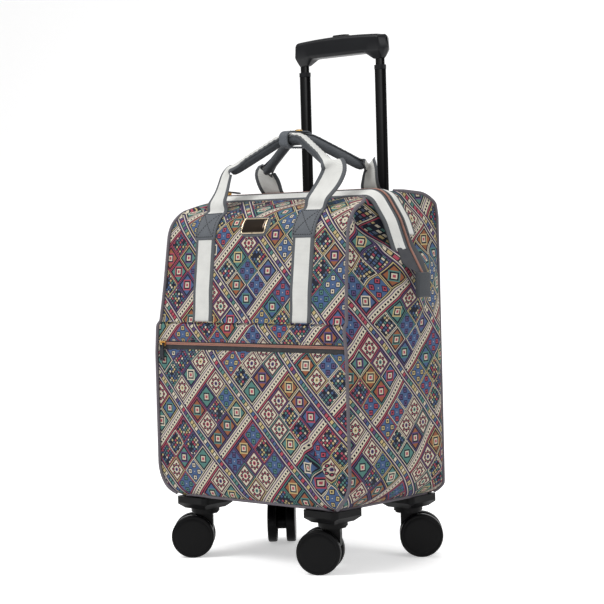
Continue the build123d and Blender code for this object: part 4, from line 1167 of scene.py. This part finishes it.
# %% Pocket tape, coil and stitches
pocket_z, tape_y, half_zip, half_stitch, front_y = 303.0, -108.7, 172.6, 170.5, -109.5
x_run = np.linspace(-half_zip, half_zip, 120)
tape_rows = np.linspace(-8.0, 3.6, 13)[:, None]
tape_grid = grid(x_run, tape_y + 0.25 * np.cos(tape_rows * np.pi / 15), pocket_z + tape_rows)
grid_piece("pocket_tape", tape_grid, pocket_cloth, "zip_tape", "pocket_zip_tape", uv=tape_grid[..., (2, 0)],
           thick=1.0)
coil("pocket_coil", even(grid(x_run, tape_y + 0.3, pocket_z), 1.6), -y_axis, z_axis, "pocket_zip_coil")
x = np.linspace(-half_stitch, half_stitch, 240)
for word, z in (("upper", pocket_z + 6.4), ("lower", pocket_z - 12.6)):
    line = grid(x, front_y - front_out(x, z) - 0.15, z)
    dashes("pocket_stitch_" + word, line, -y_axis, thread, width=0.7)
print("pocket zip made")

# %% [markdown]
# ## Pull handle
# The bar is moulded plastic. Along X its section is a rounded box; near each tube its lower part
# is drawn down and narrowed to the tube, and at each end the section shrinks to a blunt ridge. The
# tubes are extruded aluminium ovals, so a ring swept straight up with a wall makes each of them.

# %% Pull handle's bar and tubes
bar_half, bar_low, bar_y, tube_x, ring_height = 86.6, 706.0, 102.4, 71.3, 28.0
drawn_below, ridge_z = 713.0, 719.0
bar_x = bar_half * np.sin(np.linspace(-np.pi / 2, np.pi / 2, 121))[:, None]
far = np.abs(bar_x)
bar_top = 730.5 + 3.5 * (1 - (bar_x / 84.0) ** 2).clip(0, 1)
leg_low = np.interp(far, [47, 51, 62, 80.5, 84, bar_half], [706, 705, 697, 697, 705, 712])
depth, ring_z = soft_box(25.0, ring_height, 5.5, 9).T
level = ring_z + np.sign(ring_z) * (bar_top - bar_low - ring_height) / 2 + (bar_top + bar_low) / 2
drawn = leg_low + (level - bar_low) * (drawn_below - leg_low) / (drawn_below - bar_low)
z = np.where(level < drawn_below, drawn, level)
# Where the lower part is drawn down to a tube it is narrowed too, and both ends shrink to a ridge
narrow = np.where(leg_low < 705.5, np.interp(z, [697, 709], [0.40, 1.0]), 1.0)
shrink = np.interp(far, [78.5, 80.5, 85.8, bar_half], [1.0, 0.95, 0.3, 0.2])
tip = np.where(z > ridge_z, (z - ridge_z) / 2.1, (ridge_z - z) / 6)
x = bar_x - tip * smooth_step(far, 70, bar_half) * np.sign(bar_x)
grid_piece("pull_bar", grid(x, bar_y + depth * narrow * shrink, z), black_abs, "black_plastic",
           "grip_handle", body="pull_handle", ring=True, caps=True)


def oval_tube(name, x, width, depth, wall, low, high, body, node):
    """A straight tube with an oval section: outside up, over the rim, and inside down again."""
    oval, rim = circle(1.0, 40), 0.4
    oval = np.sign(oval) * np.abs(oval) ** 0.7
    outer, inner = oval * (width / 2, depth / 2), oval * (width / 2 - wall, depth / 2 - wall)
    rows = [(outer, low), (outer, high - rim), (outer - oval * rim, high), (inner, high), (inner, low),
            (outer, low)]
    points = np.array([grid(x + ring[:, 0], bar_y + ring[:, 1], z) for ring, z in rows])
    grid_piece(name, points, tube_coat, "tube_metal", node, body=body, ring=True)


for word, x in (("left", -tube_x), ("right", tube_x)):
    oval_tube("mid_tube_" + word, x, 17.6, 9.6, 1.2, 312.0, 682.0, "mid_stage", "mid_tubes")
    oval_tube("inner_tube_" + word, x, 14.6, 6.6, 1.2, 314.0, 716.0, "pull_handle", "inner_tubes")
print("pull handle: bar", z.shape, "and four tubes")

# %% Finishes of the pieces that stay as the CAD has them
spots = ("fl", "fr", "rl", "rr")
finishes = {
    black_abs: ["tube_top_housing", "tube_foot_bracket", "mid_tube_collars"],
    caster_plastic: [f"caster_{part}_{spot}" for part in ("mount", "fork") for spot in spots],
    tube_coat: ["outer_tubes"],
    button_plastic: ["grip_button"],
    gold: ["pocket_zip_slider", "mouth_zip_slider"],
    dark_leather: ["pocket_zip_pull", "mouth_zip_pull"],
    steel: ["mouth_frame_wires", "caster_screws"] + ["caster_axle_" + spot for spot in spots],
    board_plastic: ["base_board", "back_board"],
}
for material, names in finishes.items():
    for name in names:
        nodes[name].data.materials.clear()
        nodes[name].data.materials.append(material)
print("CAD nodes dressed:", sum(len(names) for names in finishes.values()))

# %% [markdown]
# ## Wheels
# A twin caster wheel is moulded hollow from behind and closed by a smooth, slightly domed face.
# The tread turns into the face through a rounded shoulder, and a fine step shows where the cap
# sits in the rim. Its profile is turned round the axle, whose place the frame's joints give.

# %% Wheel pieces
joints = {joint["name"]: joint for joint in frame["joints"]}
tread_radius, half_wheel = 30, 7.0
# Radius and height of each ring, from the hollow back over the tread's shoulder to the cap
turn = np.linspace(0, np.pi / 2, 7)
shoulder = grid(tread_radius - 3.2 * (1 - np.cos(turn)), 11.1 + 2.6 * np.sin(turn))
back = [(3.2, 0.4), (8.0, 0.4), (8.6, 1.2), (9.4, 3.4), (23.0, 3.4), (24.2, 0.6), (27.6, 0.3), (29.2, 0.9),
        (29.8, 2.0), (30.0, 3.6)]
face = [(26.3, 13.75), (26.0, 13.3), (25.6, 13.3), (25.3, 13.55), (21.0, 13.72), (14.0, 13.88), (7.0, 13.96),
        (0.3, 14.0)]
wheel_profile = np.concatenate([back, shoulder, face])
for spot, word in zip(spots, ("front_left", "front_right", "rear_left", "rear_right")):
    for letter in ("a", "b"):
        wheel, node = f"{word}_wheel_{letter}", f"wheel_{spot}_{letter}"
        joint = joints[wheel + "_spin"]
        centre, axis = np.array(joint["pos_m"]) * 1000, np.array(joint["axis"])
        middle = np.array(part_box(node)).sum(0) * 500
        axis = axis * np.sign((middle - centre) @ axis)
        start = centre + axis * ((middle - centre) @ axis - half_wheel)
        lathe(wheel + "_turned", start, axis, wheel_profile, wheel_plastic, "wheel", node, body=wheel,
              count=72)
print("wheels turned")
